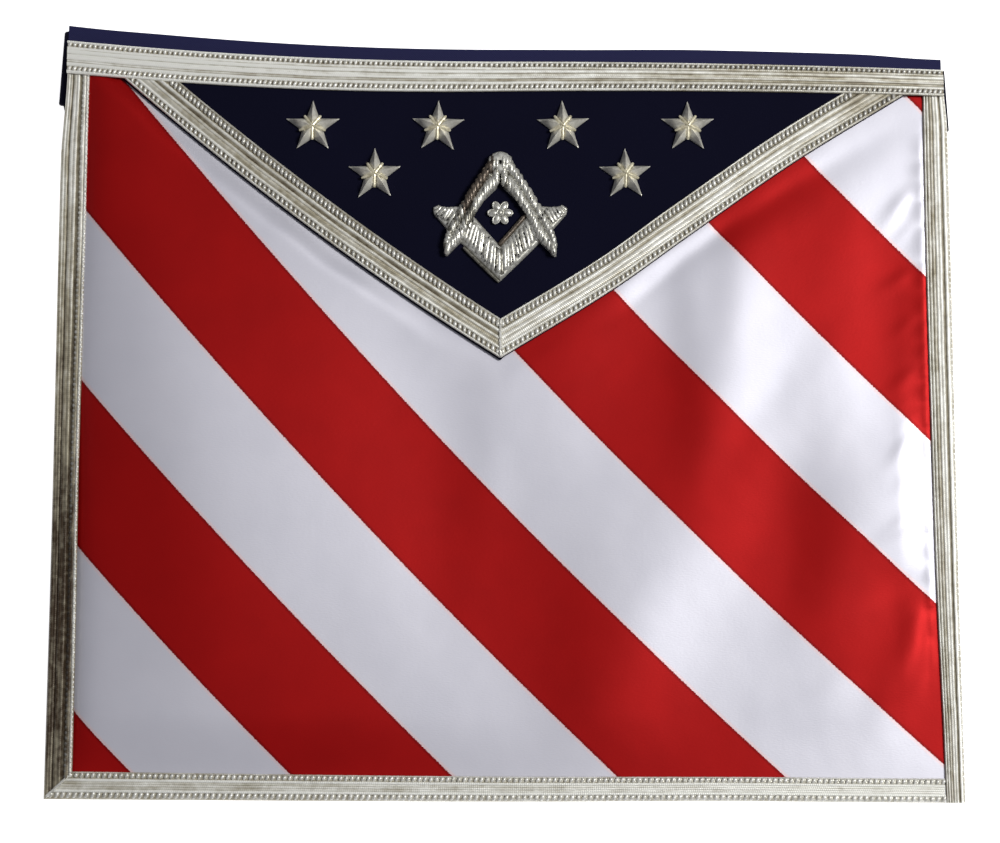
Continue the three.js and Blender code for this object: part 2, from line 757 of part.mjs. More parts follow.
// Clasp: one plate with a blind slot in each side for the belt's ends
function claspGeometry() {
  const middle = beltLine(0) - beltWidth / 2 - beltBackDrop;
  let plate = toSolid(new THREE.BoxGeometry(claspWidth, beltWidth + 2 * claspRim, claspThickness));
  const slotDepth = (claspWidth - claspBridge) / 2;
  for (const side of [-1, 1]) {
    const slot = new THREE.BoxGeometry(2 * slotDepth, beltWidth + 2 * clearance, beltThickness + 2 * clearance);
    slot.translate(side * (claspBridge / 2 + slotDepth), 0, 0);
    plate = plate.subtract(toSolid(slot));
  }
  const clasp = toGeometry(plate);
  clasp.translate(0, middle, claspMiddle);
  return clasp;
}
addPiece('belt_clasp', claspGeometry(), nickel);

// The origin is under the middle of the whole apron, on the table
group.updateMatrixWorld(true);
const box = new THREE.Box3().setFromObject(group, true);
const middle = box.getCenter(new THREE.Vector3());
group.position.set(-middle.x, -middle.y, -box.min.z);
group.updateMatrixWorld(true);

export default group;
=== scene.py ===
import math
import random
import bpy
import bmesh
from mathutils import Matrix, Vector, noise


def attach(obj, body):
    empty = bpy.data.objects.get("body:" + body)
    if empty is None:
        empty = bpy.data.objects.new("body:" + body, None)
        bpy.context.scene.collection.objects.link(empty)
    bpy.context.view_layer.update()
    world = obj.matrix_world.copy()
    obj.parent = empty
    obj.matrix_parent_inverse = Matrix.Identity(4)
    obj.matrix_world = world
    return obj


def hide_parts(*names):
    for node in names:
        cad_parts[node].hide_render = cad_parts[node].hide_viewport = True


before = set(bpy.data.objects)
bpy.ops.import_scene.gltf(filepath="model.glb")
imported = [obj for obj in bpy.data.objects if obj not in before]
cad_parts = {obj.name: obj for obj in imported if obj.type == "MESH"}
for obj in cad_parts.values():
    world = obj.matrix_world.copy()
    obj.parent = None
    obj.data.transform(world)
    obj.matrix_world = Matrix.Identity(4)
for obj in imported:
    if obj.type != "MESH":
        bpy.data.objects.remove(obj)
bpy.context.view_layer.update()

# Lodge apron lying face up on the table. Sizes below are millimetres on the apron itself:
# x from its middle, y up from the hem, z up from the table.
mm = 0.001
frameShift = (0.400, -175.950)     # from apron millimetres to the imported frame

scene = bpy.context.scene
scene.view_settings.view_transform = "Standard"


# small helpers

def hexColor(code):
    # sRGB hex to the linear colour that shaders want
    parts = [int(code[k:k + 2], 16) / 255 for k in (1, 3, 5)]
    return (*[c / 12.92 if c <= 0.04045 else ((c + 0.055) / 1.055) ** 2.4 for c in parts], 1.0)


def addNode(tree, kind, inputs=None, **settings):
    # one node with its settings; an input is a number or another node's output
    node = tree.nodes.new(kind)
    for name, value in settings.items():
        setattr(node, name, value)
    for name, value in (inputs or {}).items():
        if isinstance(value, bpy.types.NodeSocket):
            tree.links.new(value, node.inputs[name])
        else:
            node.inputs[name].default_value = value
    return node


def newMaterial(name):
    material = bpy.data.materials.new(name)
    material.use_nodes = True
    material.node_tree.nodes.clear()
    return material, material.node_tree


def smoothTable(rows, place):
    # smooth curve through rows of (place, value)
    if place <= rows[0][0]:
        return rows[0][1]
    if place >= rows[-1][0]:
        return rows[-1][1]
    k = next(i for i in range(len(rows) - 1) if place < rows[i + 1][0])
    slopes = [(b[1] - a[1]) / (b[0] - a[0]) for a, b in zip(rows, rows[1:])]
    slopeIn = (slopes[max(k - 1, 0)] + slopes[k]) / 2
    slopeOut = (slopes[k] + slopes[min(k + 1, len(slopes) - 1)]) / 2
    (t0, v0), (t1, v1) = rows[k], rows[k + 1]
    d = t1 - t0
    p = (place - t0) / d
    return ((2 * p ** 3 - 3 * p ** 2 + 1) * v0 + (p ** 3 - 2 * p ** 2 + p) * d * slopeIn
            + (3 * p ** 2 - 2 * p ** 3) * v1 + (p ** 3 - p ** 2) * d * slopeOut)


def lerp(a, b, share):
    return a + (b - a) * share


def smoothstep(value, low, high):
    share = min(max((value - low) / (high - low), 0.0), 1.0)
    return share * share * (3 - 2 * share)


def toFrame(x, y, z):
    return Vector(((x + frameShift[0]) * mm, (y + frameShift[1]) * mm, z * mm))


def ripple(x, y, size, seed=0.0):
    # soft wander between -1 and 1, size in millimetres
    return noise.noise(Vector((x / size, y / size, seed)))


# camera and light

view = {
    "place": (-0.0016, -0.13655, 0.91501),
    "lean": 8.0,                # degrees from straight down
    "lens": 73.76,
    "worldColor": "#F1F3FF",
    "worldStrength": 0.19,
    "keyPlace": (1.030, 0.181, 1.50),
    "keyAim": (0.02, 0.0, 0.0),
    "keySize": 0.56,
    "keyPower": 26.0,
    "keyColor": "#FFFFFD",
    "fillPlace": (-0.20, 0.55, 1.10),
    "fillSize": 0.9,
    "fillPower": 0.47,
}


def aimAt(item, target):
    item.rotation_euler = (Vector(target) - item.location).to_track_quat("-Z", "Y").to_euler()


def makeView():
    camera = bpy.data.objects.new("camera", bpy.data.cameras.new("camera"))
    camera.location = view["place"]
    camera.rotation_euler = (math.radians(view["lean"]), 0, 0)
    camera.data.lens = view["lens"]
    camera.data.sensor_width = 36
    scene.collection.objects.link(camera)
    scene.camera = camera
    for name in ("key", "fill"):
        lamp = bpy.data.lights.new(name, "AREA")
        lamp.shape = "DISK"
        lamp.size = view[name + "Size"]
        lamp.energy = view[name + "Power"]
        lamp.color = hexColor(view.get(name + "Color", "#FFFFFF"))[:3]
        item = bpy.data.objects.new(name, lamp)
        item.location = view[name + "Place"]
        aimAt(item, view["keyAim"])
        scene.collection.objects.link(item)
    world = bpy.data.worlds.new("studio")
    world.use_nodes = True
    back = world.node_tree.nodes["Background"]
    back.inputs["Color"].default_value = hexColor(view["worldColor"])
    back.inputs["Strength"].default_value = view["worldStrength"]
    scene.world = world


makeView()
print("camera and light ready")


# materials

finishes = {
    "satinRed": "#AC1111",
    "satinWhite": "#DDDBE4",
    "satinGrain": 0.55,         # mm between the floats of the satin face, drawn coarse enough to show
    "velvet": "#0C0C20",
    "velvetNap": 0.5,           # mm, tufts of the pile
    "braidDeep": "#3F301E",     # cotton base thread in painted shade: the bottom of the grooves and the shaded lengths of a braid
    "braidTan": "#A49C86",
    # painted highlight on the crests and on the lit lengths of a braid
    "braidBright": "#F3F2EA",
    "braidThread": 0.9,         # mm between cross threads; real ones are 0.3 and too fine to show
    "stitchLight": "#F6F5EF",
    "stitchDeep": "#C4C1B5",
    "bullionLight": "#D9D8D0",
    "bullionDeep": "#A5A297",
    "starLight": "#EDEADF",
    "starDeep": "#D2CEC0",
    "cordLight": "#E9E2C8",     # gimp cords of the stars, a little yellower
    "cordDeep": "#B5AD92",
    "shadeBrownLight": "#766A5E",     # brown painted shade for rolls turned from the light and for braid stitches
    "shadeBrownDeep": "#3D362F",
    "shadeGreyLight": "#8C897E",     # turns of wire lying in the shade of others
    "shadeGreyDeep": "#504D44",
    "webbing": "#1C1D4A",
    "webbingRib": 1.1,          # mm between the ribs of the webbing
    "nickel": "#B9B8B2",
}


def satinStripes():
    # polyester satin, woven: silky, a soft stretched shine, a dry weave only seen close by
    material, tree = newMaterial("woven polyester satin")
    stripeMap = addNode(tree, "ShaderNodeUVMap", uv_map="stripes")
    stripe = addNode(tree, "ShaderNodeSeparateXYZ", {0: stripeMap.outputs[0]})
    weaveMap = addNode(tree, "ShaderNodeUVMap", uv_map="weave")
    # the stripes' edges step a thread at a time
    step = addNode(tree, "ShaderNodeTexNoise", {"Vector": weaveMap.outputs[0], "Scale": 1.6, "Detail": 1.0})
    shifted = addNode(tree, "ShaderNodeMath",
                      {0: step.outputs["Fac"], 1: 0.016, 2: stripe.outputs["X"]}, operation="MULTIPLY_ADD")
    turn = addNode(tree, "ShaderNodeMath", {0: shifted.outputs[0], 1: math.pi}, operation="MULTIPLY")
    wave = addNode(tree, "ShaderNodeMath", {0: turn.outputs[0]}, operation="SINE")
    redness = addNode(tree, "ShaderNodeMath", {0: wave.outputs[0], 1: -55.0, 2: 0.5},
                      operation="MULTIPLY_ADD", use_clamp=True)
    cloud = addNode(tree, "ShaderNodeTexNoise", {"Vector": weaveMap.outputs[0], "Scale": 0.035, "Detail": 3.0})
    white = addNode(tree, "ShaderNodeMix", {0: cloud.outputs["Fac"], 6: hexColor("#D0CFD9"),
                                            7: hexColor(finishes["satinWhite"])}, data_type="RGBA")
    red = addNode(tree, "ShaderNodeMix", {0: cloud.outputs["Fac"], 6: hexColor("#990D0E"),
                                          7: hexColor(finishes["satinRed"])}, data_type="RGBA")
    # a pale thread on the white side of each edge, a deep one on the red side
    pale = addNode(tree, "ShaderNodeMapRange", {0: wave.outputs[0], 1: 0.04, 2: 0.10, 3: 0.55, 4: 0.0})
    dark = addNode(tree, "ShaderNodeMapRange", {0: wave.outputs[0], 1: -0.09, 2: -0.04, 3: 0.0, 4: 0.6})
    paleWhite = addNode(tree, "ShaderNodeMix", {0: pale.outputs[0], 6: white.outputs[2], 7: hexColor("#EFC9C6")},
                        data_type="RGBA")
    darkRed = addNode(tree, "ShaderNodeMix", {0: dark.outputs[0], 6: red.outputs[2], 7: hexColor("#6E0508")},
                      data_type="RGBA")
    color = addNode(tree, "ShaderNodeMix", {0: redness.outputs[0], 6: paleWhite.outputs[2], 7: darkRed.outputs[2]},
                    data_type="RGBA")
    # floats of the weave: long across, narrow up
    stretch = addNode(tree, "ShaderNodeVectorMath",
                      {0: weaveMap.outputs[0], 1: (0.35 / finishes["satinGrain"], 1 / finishes["satinGrain"], 1)},
                      operation="MULTIPLY")
    grain = addNode(tree, "ShaderNodeTexNoise", {"Vector": stretch.outputs[0], "Scale": 1.0, "Detail": 2.0})
    bump = addNode(tree, "ShaderNodeBump", {"Height": grain.outputs["Fac"], "Strength": 0.16, "Distance": 0.0002})
    shader = addNode(tree, "ShaderNodeBsdfPrincipled", {
        "Base Color": color.outputs[2], "Normal": bump.outputs[0], "Roughness": 0.46,
        "Metallic": 0.38, "Specular IOR Level": 0.12})
    addNode(tree, "ShaderNodeOutputMaterial", {"Surface": shader.outputs[0]})
    return material


def velvetPile():
    # cotton velvet, cut pile: drinks the light, a faint bloom where the pile leans
    material, tree = newMaterial("cotton velvet")
    place = addNode(tree, "ShaderNodeTexCoord")
    nap = addNode(tree, "ShaderNodeTexNoise", {"Vector": place.outputs["Object"],
                                               "Scale": 1 / (finishes["velvetNap"] * mm), "Detail": 2.0})
    brushed = addNode(tree, "ShaderNodeTexNoise", {"Vector": place.outputs["Object"], "Scale": 18.0, "Detail": 2.0})
    tone = addNode(tree, "ShaderNodeMix", {0: brushed.outputs["Fac"], 6: hexColor("#08081A"),
                                           7: hexColor(finishes["velvet"])}, data_type="RGBA")
    bump = addNode(tree, "ShaderNodeBump", {"Height": nap.outputs["Fac"], "Strength": 0.5, "Distance": 0.0003})
    shader = addNode(tree, "ShaderNodeBsdfPrincipled", {
        "Base Color": tone.outputs[2], "Normal": bump.outputs[0], "Roughness": 0.95,
        "Specular IOR Level": 0.1, "Sheen Weight": 0.03, "Sheen Roughness": 0.5,
        "Sheen Tint": hexColor("#5B6BC8")})
    addNode(tree, "ShaderNodeOutputMaterial", {"Surface": shader.outputs[0]})
    return material


def metalBraid():
    # flat silver-tone wire woven over cotton: ribs of close cross threads; the tone attribute paints shade in the
    # grooves and along shaded lengths, and a highlight on the crests
    material, tree = newMaterial("woven metal thread braid")
    ribMap = addNode(tree, "ShaderNodeUVMap", uv_map="weave")
    rib = addNode(tree, "ShaderNodeSeparateXYZ", {0: ribMap.outputs[0]})
    tone = addNode(tree, "ShaderNodeAttribute", attribute_name="tone")
    place = addNode(tree, "ShaderNodeTexCoord")
    wearAndPaintedLight = addNode(tree, "ShaderNodeTexNoise", {"Vector": place.outputs["Object"], "Scale": 420.0, "Detail": 3.0})
    slant = addNode(tree, "ShaderNodeMath", {0: rib.outputs["X"], 1: 0.5, 2: rib.outputs["Y"]},
                    operation="MULTIPLY_ADD")
    turn = addNode(tree, "ShaderNodeMath", {0: slant.outputs[0], 1: 2 * math.pi / finishes["braidThread"]},
                   operation="MULTIPLY")
    thread = addNode(tree, "ShaderNodeMath", {0: turn.outputs[0]}, operation="SINE")
    # the tone attribute carries painted light: low tone goes to the deep colour as painted shade, high tone to the
    # bright one as painted highlight
    uneven = addNode(tree, "ShaderNodeMath", {0: wearAndPaintedLight.outputs["Fac"], 1: 0.5, 2: tone.outputs["Fac"]},
                     operation="MULTIPLY_ADD")
    deep = addNode(tree, "ShaderNodeMapRange", {0: uneven.outputs[0], 1: 0.25, 2: 0.65})
    shiny = addNode(tree, "ShaderNodeMapRange", {0: uneven.outputs[0], 1: 0.65, 2: 1.2})
    base = addNode(tree, "ShaderNodeMix", {0: deep.outputs[0], 6: hexColor(finishes["braidDeep"]),
                                           7: hexColor(finishes["braidTan"])}, data_type="RGBA")
    color = addNode(tree, "ShaderNodeMix", {0: shiny.outputs[0], 6: base.outputs[2],
                                            7: hexColor(finishes["braidBright"])}, data_type="RGBA")
    bump = addNode(tree, "ShaderNodeBump", {"Height": thread.outputs[0], "Strength": 0.35, "Distance": 0.0001})
    shader = addNode(tree, "ShaderNodeBsdfPrincipled", {
        "Base Color": color.outputs[2], "Normal": bump.outputs[0], "Roughness": 0.4, "Metallic": 0.2})
    addNode(tree, "ShaderNodeOutputMaterial", {"Surface": shader.outputs[0]})
    return material


def bullionWire(name, light, deep, toned=False, shine=0.6):
    # coiled silver-tone wire sewn down: bright on the crowns, darker where the coils meet
    material, tree = newMaterial(name)
    place = addNode(tree, "ShaderNodeTexCoord")
    wearAndPaintedLight = addNode(tree, "ShaderNodeTexNoise", {"Vector": place.outputs["Object"], "Scale": 700.0, "Detail": 3.0})
    tint = addNode(tree, "ShaderNodeMapRange", {0: wearAndPaintedLight.outputs["Fac"], 1: 0.3, 2: 0.65})
    color = addNode(tree, "ShaderNodeMix", {0: tint.outputs[0], 6: hexColor(finishes[deep]),
                                            7: hexColor(finishes[light])}, data_type="RGBA")
    if toned:
        # painted shade: stitches go toward the brown shade colour where the braid's tone is low
        tone = addNode(tree, "ShaderNodeAttribute", attribute_name="tone")
        color = addNode(tree, "ShaderNodeMix", {0: tone.outputs["Fac"], 6: hexColor(finishes["shadeBrownDeep"]),
                                                7: color.outputs[2]}, data_type="RGBA")
    bump = addNode(tree, "ShaderNodeBump", {"Height": wearAndPaintedLight.outputs["Fac"], "Strength": 0.3, "Distance": 0.0002})
    shader = addNode(tree, "ShaderNodeBsdfPrincipled", {
        "Base Color": color.outputs[2], "Normal": bump.outputs[0], "Roughness": 0.35, "Metallic": shine})
    addNode(tree, "ShaderNodeOutputMaterial", {"Surface": shader.outputs[0]})
    return material


def beltWebbing():
    # woven polyester webbing: flat ribs across, a dull sheen
    material, tree = newMaterial("polyester webbing")
    weaveMap = addNode(tree, "ShaderNodeUVMap", uv_map="weave")
    weave = addNode(tree, "ShaderNodeSeparateXYZ", {0: weaveMap.outputs[0]})
    ribTurn = addNode(tree, "ShaderNodeMath", {0: weave.outputs["X"], 1: 2 * math.pi / finishes["webbingRib"]},
                      operation="MULTIPLY")
    ribWave = addNode(tree, "ShaderNodeMath", {0: ribTurn.outputs[0]}, operation="SINE")
    crossTurn = addNode(tree, "ShaderNodeMath", {0: weave.outputs["Y"], 1: 2 * math.pi / finishes["webbingRib"]},
                        operation="MULTIPLY")
    crossWave = addNode(tree, "ShaderNodeMath", {0: crossTurn.outputs[0]}, operation="SINE")
    both = addNode(tree, "ShaderNodeMath", {0: ribWave.outputs[0], 1: crossWave.outputs[0]}, operation="MULTIPLY")
    share = addNode(tree, "ShaderNodeMath", {0: both.outputs[0], 1: 0.5, 2: 0.5}, operation="MULTIPLY_ADD")
    color = addNode(tree, "ShaderNodeMix", {0: share.outputs[0], 6: hexColor("#12133A"),
                                            7: hexColor(finishes["webbing"])}, data_type="RGBA")
    bump = addNode(tree, "ShaderNodeBump", {"Height": both.outputs[0], "Strength": 0.4, "Distance": 0.0002})
    shader = addNode(tree, "ShaderNodeBsdfPrincipled", {
        "Base Color": color.outputs[2], "Normal": bump.outputs[0], "Roughness": 0.8,
        "Specular IOR Level": 0.35, "Sheen Weight": 0.15, "Sheen Tint": hexColor("#6C78D8")})
    addNode(tree, "ShaderNodeOutputMaterial", {"Surface": shader.outputs[0]})
    return material


def nickelPlate():
    # nickel plate on stamped steel: satin-bright, fine brush lines and a few scuffs
    material, tree = newMaterial("brushed nickel plate")
    place = addNode(tree, "ShaderNodeTexCoord")
    stretch = addNode(tree, "ShaderNodeMapping", {"Vector": place.outputs["Object"], "Scale": (60, 2200, 600)})
    brush = addNode(tree, "ShaderNodeTexNoise", {"Vector": stretch.outputs[0], "Scale": 1.0, "Detail": 3.0})
    rough = addNode(tree, "ShaderNodeMapRange", {0: brush.outputs["Fac"], 3: 0.24, 4: 0.42})
    bump = addNode(tree, "ShaderNodeBump", {"Height": brush.outputs["Fac"], "Strength": 0.1, "Distance": 0.0001})
    shader = addNode(tree, "ShaderNodeBsdfPrincipled", {
        "Base Color": hexColor(finishes["nickel"]), "Normal": bump.outputs[0],
        "Roughness": rough.outputs[0], "Metallic": 1.0})
    addNode(tree, "ShaderNodeOutputMaterial", {"Surface": shader.outputs[0]})
    return material


def eyeletShade():
    # black painted shade: the bottom of the eyelet, flecks between wires and the hollow behind the leaf
    material, tree = newMaterial("black painted shade")
    shader = addNode(tree, "ShaderNodeBsdfPrincipled", {
        "Base Color": hexColor("#0B0A0C"), "Roughness": 0.7})
    addNode(tree, "ShaderNodeOutputMaterial", {"Surface": shader.outputs[0]})
    return material


satin = satinStripes()
velvet = velvetPile()
braid = metalBraid()
purl = bullionWire("coiled metal purl", "stitchLight", "stitchDeep", True, 0.35)
bullion = bullionWire("bullion embroidery wire", "bullionLight", "bullionDeep")
starWire = bullionWire("flat star wire", "starLight", "starDeep", shine=0.4)
gimp = bullionWire("gimp cord", "cordLight", "cordDeep", shine=0.35)
shadeBrownWire = bullionWire("bullion wire in brown painted shade", "shadeBrownLight", "shadeBrownDeep")
shadeGreyWire = bullionWire("bullion wire in grey painted shade", "shadeGreyLight", "shadeGreyDeep")
webbing = beltWebbing()
nickel = nickelPlate()
shadeBlack = eyeletShade()
print("materials ready")


# making pieces

def finishPiece(bm, name, materials, replaced, sharp=55):
    mesh = bpy.data.meshes.new(name)
    bm.to_mesh(mesh)
    bm.free()
    piece = bpy.data.objects.new(name, mesh)
    scene.collection.objects.link(piece)
    for material in materials:
        mesh.materials.append(material)
    mesh.shade_smooth()
    mesh.set_sharp_from_angle(angle=math.radians(sharp))
    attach(piece, "root")
    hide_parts(*replaced)
    return piece


def gridMesh(columns, rows, placeAt, uvAt=None, toneAt=None, closed=False):
    # a flat grid moved to its place point by point; closed wraps its columns into a tube
    bm = bmesh.new()
    maps = {mapName: bm.loops.layers.uv.new(mapName) for mapName in (uvAt or {})}
    toneLayer = bm.verts.layers.float.new("tone") if toneAt else None
    bmesh.ops.create_grid(bm, x_segments=columns, y_segments=rows, size=0.5)
    bm.verts.index_update()
    spots = [(round((vert.co.x + 0.5) * columns), round((vert.co.y + 0.5) * rows)) for vert in bm.verts]
    for vert in bm.verts:
        vert.co = placeAt(*spots[vert.index])
        if toneAt:
            vert[toneLayer] = toneAt(*spots[vert.index])
    for mapName, layer in maps.items():
        for face in bm.faces:
            for loop in face.loops:
                loop[layer].uv = uvAt[mapName](*spots[loop.vert.index])
    if closed:
        bmesh.ops.remove_doubles(bm, verts=bm.verts, dist=0.002 * mm)
        openEdges = [edge for edge in bm.edges if edge.is_boundary]
        bmesh.ops.holes_fill(bm, edges=openEdges, sides=0)
    bmesh.ops.recalc_face_normals(bm, faces=bm.faces)
    return bm


beadShapes = {}


def addBead(bm, centre, size, turn=0.0, tilt=0.0, fineness=(8, 5)):
    # one sewn stitch: a rounded bead turned in the cloth's plane; size is length, width and height in mm
    if fineness not in beadShapes:
        ball = bmesh.new()
        bmesh.ops.create_uvsphere(ball, u_segments=fineness[0], v_segments=fineness[1], radius=0.5)
        bmesh.ops.rotate(ball, verts=ball.verts, matrix=Matrix.Rotation(math.pi / 2, 3, "Y"))
        beadShapes[fineness] = bpy.data.meshes.new("bead")
        ball.to_mesh(beadShapes[fineness])
        ball.free()
    matrix = (Matrix.Translation(centre) @ Matrix.Rotation(turn, 4, "Z") @ Matrix.Rotation(tilt, 4, "Y")
              @ Matrix.Diagonal((size[0] * mm, size[1] * mm, size[2] * mm, 1)))
    bead = beadShapes[fineness].copy()
    bead.transform(matrix)
    bm.from_mesh(bead)
    bpy.data.meshes.remove(bead)


def layWires(bm, wires, sides=1, knobs=0.0, finish=0):
    # wires sewn over a pad; a wire is (points, radius in mm, end taper)
    curve = bpy.data.curves.new("wires", "CURVE")
    curve.dimensions = "3D"
    curve.bevel_depth = mm
    curve.bevel_resolution = sides
    curve.use_fill_caps = True
    for number, (points, radius, taper) in enumerate(wires):
        spline = curve.splines.new("POLY")
        spline.points.add(len(points) - 1)
        for k, point in enumerate(points):
            spline.points[k].co = (*point, 1)
            swell = 1 + knobs * math.sin(2.3 * k + 1.7 * number)
            spline.points[k].radius = radius * (taper if k in (0, len(points) - 1) else swell)
    holder = bpy.data.objects.new("wires", curve)
    mesh = bpy.data.meshes.new_from_object(holder)
    known = set(bm.faces)
    bm.from_mesh(mesh)
    for face in bm.faces:
        if face not in known:
            face.material_index = finish
    bpy.data.meshes.remove(mesh)
    bpy.data.objects.remove(holder)
    bpy.data.curves.remove(curve)


# lines of the apron

apron = {
    "width": 404.4,
    "height": 333.3,
    "waistLeftRise": 9.8,
    "waistRightDrop": 4.5,
    "waistBraidWidth": 14.0,
    "flapAxis": -1.9,
    "flapTip": 195.8,
    "flapLeftReach": 172.0,
    "flapRightReach": 185.3,
    "flapLeftBow": 5.2,
    "flapRightSway": 2.5,
    "lowBed": 1.2,              # underside of the panel at the hem
    "highBed": 6.4,             # and where it lies on the belt
    "drape": 240.0,
    "tuck": 1.5,
    "beltWidth": 36.0,
    "beltShow": 6.6,
    "beltLeftRise": 12.0,
}
halfWidth = apron["width"] / 2
leftBraidWidth = 12.0
rightBraidWidth = 10.2
hemBraidWidth = 11.5
flapBraidWidth = 15.2
braidRise = 1.4
clearance = 0.3
overPanel = 1.3
overFlap = 2.8
underWaistBraid = 3.0
openLeft = -halfWidth + leftBraidWidth + clearance
openRight = halfWidth - rightBraidWidth - clearance
openFoot = hemBraidWidth + clearance

waistTaper = [(-1.0, 1.10), (-0.4, 1.07), (0.0, 1.00), (0.5, 0.93), (1.0, 0.88)]
flapSway = [(0.0, 0.0), (0.28, -0.8), (0.45, 0.0), (0.72, 1.0), (1.0, 0.3), (1.15, 0.0)]


def waistLine(x):
    u = x / halfWidth
    return apron["height"] + (apron["waistLeftRise"] if x < 0 else -apron["waistRightDrop"]) * u * u


def waistBraidFoot(x):
    return waistLine(x) - apron["waistBraidWidth"] * smoothTable(waistTaper, x / halfWidth)


def beltLine(x):
    u = x / halfWidth
    rise = apron["beltLeftRise"] if x < 0 else -apron["waistRightDrop"]
    hump = 0.7 * smoothstep(x, 30, 90) * (1 - smoothstep(x, 165, 195))
    return apron["height"] + apron["beltShow"] + rise * u * u + hump


flapLeftCorner = waistBraidFoot(apron["flapAxis"] - apron["flapLeftReach"])
flapRightCorner = waistBraidFoot(apron["flapAxis"] + apron["flapRightReach"])


def flapEdge(x):
    if x < apron["flapAxis"]:
        u = (apron["flapAxis"] - x) / apron["flapLeftReach"]
        return lerp(apron["flapTip"], flapLeftCorner, u) - 4 * apron["flapLeftBow"] * u * (1 - u)
    u = (x - apron["flapAxis"]) / apron["flapRightReach"]
    return lerp(apron["flapTip"], flapRightCorner, u) + apron["flapRightSway"] * smoothTable(flapSway, u)


def bed(x, y):
    beltFoot = beltLine(x) - apron["beltWidth"] - clearance
    return lerp(apron["lowBed"], apron["highBed"], smoothstep(y, beltFoot - apron["drape"], beltFoot))


def lastWhere(inner, outer, holds):
    # last place between two x values, inner first, at which a test holds
    if holds(outer):
        return outer
    for k in range(40):
        middle = (inner + outer) / 2
        if holds(middle):
            inner = middle
        else:
            outer = middle
    return inner


# satin panel

panelLook = {
    "columns": 210,
    "rows": 165,
    "thickness": 0.8,
    "inset": 1.3,               # its edges lie this far inside the rolled braids
    "stripeWidth": 51.33,
    "stripeCrowding": 0.45,     # columns draw together towards the puckered side
    "rollRise": 4.0,            # swell of the whole satin above the left braid
    "rollReach": 6.0,
    "rightFade": 16.0,
    "pillowRise": 0.9,          # small puffs between the stitches beside the right braid
    "pillowWidth": 5.0,
    "pillowPitch": 11.5,
}
# stripe count at a place: one more for each stripe crossed going up and to the right
stripeStart = 2.16140304
stripeAcross = 1.39132275e-2
stripeUp = 1.45241578e-2
stripeBow = (-2.20843953e-6, 1.06406489e-6, -3.22049151e-6)

# folds and puckers: x, y, turn from the x axis in degrees, half length, half width, rise
foldRows = [
    (98, 203, 81, 74, 12.7, 0.86),
    (-23, 152, 107, 110, 37.5, -2.30),
    (53, 69, 69, 58, 17.9, 1.02),
    (-2, 119, 80, 110, 58.5, -2.30),
    (176, 260, 54, 9, 5.0, 0.30),
    (174, 216, 86, 50, 20.0, -0.70),
    (182, 130, 84, 36, 23.0, 1.70),
    (188, 190, 88, 60, 12.0, 0.50),
    (188, 77, 22, 9, 9.9, 0.34),
    (126, 128, 81, 45, 19.7, -1.78),
    (116, 74, 104, 110, 47.3, -2.14),
    (-134, 158, 92, 110, 53.0, 4.70),
    (-159, 201, 100, 110, 28.0, 2.10),
    (107, 216, 84, 51, 18.5, 0.74),
    (181, 63, 61, 45, 9.6, 0.96),
    (62, 199, 75, 95, 31.6, -2.06),
    (78, 26, 64, 74, 26.1, -1.42),
    (-136, 61, 51, 69, 29.4, 0.79),
    (85, 219, 92, 49, 9.4, 0.67),
    (82, 248, 30, 82, 8.8, -1.40),
    (152, 113, 59, 58, 13.6, 0.45),
    (38, 83, 79, 51, 12.9, 0.42),
    (115, 172, 55, 54, 10.6, -0.42),
    (155, 245, 72, 45, 14.0, 0.25),
    (178, 95, 38, 19, 8.9, -0.79),
    (185, 69, 86, 17, 5.0, 0.90),
    (-9, 137, 84, 60, 13.0, 0.58),
    (154, 49, 25, 48, 12.3, 0.93),
    (182, 269, 48, 10, 3.0, 0.45),      # short tucks pulled from the stitches of the right braid
    (184, 255, 42, 9, 2.8, 0.28),
    (181, 233, 30, 11, 3.0, 0.40),
    (184, 213, 38, 9, 2.6, 0.30),
    (184, 189, 36, 11, 3.0, 0.45),
    (186, 171, 40, 9, 2.6, 0.38),
    (180, 157, 50, 10, 3.2, 0.50),
    (184, 144, 42, 9, 2.6, 0.40),
    (177, 121, 34, 11, 3.4, 0.45),
    (186, 103, 44, 9, 2.6, 0.42),
    (187, 82, 40, 8, 2.6, 0.30),
]


def stripeCount(x, y):
    return (stripeStart + stripeAcross * x + stripeUp * y
            + stripeBow[0] * x * x + stripeBow[1] * x * y + stripeBow[2] * y * y)


def foldSum(x, y):
    rise = 0.0
    for cx, cy, turn, long, wide, height in foldRows:
        if abs(x - cx) > 2.6 * long + 20 or abs(y - cy) > 2.6 * long + 20:
            continue
        c, s = math.cos(math.radians(turn)), math.sin(math.radians(turn))
        along = ((x - cx) * c + (y - cy) * s) / long
        aside = ((y - cy) * c - (x - cx) * s) / wide
        rise += height * math.exp(-along * along - aside * aside)
    return rise


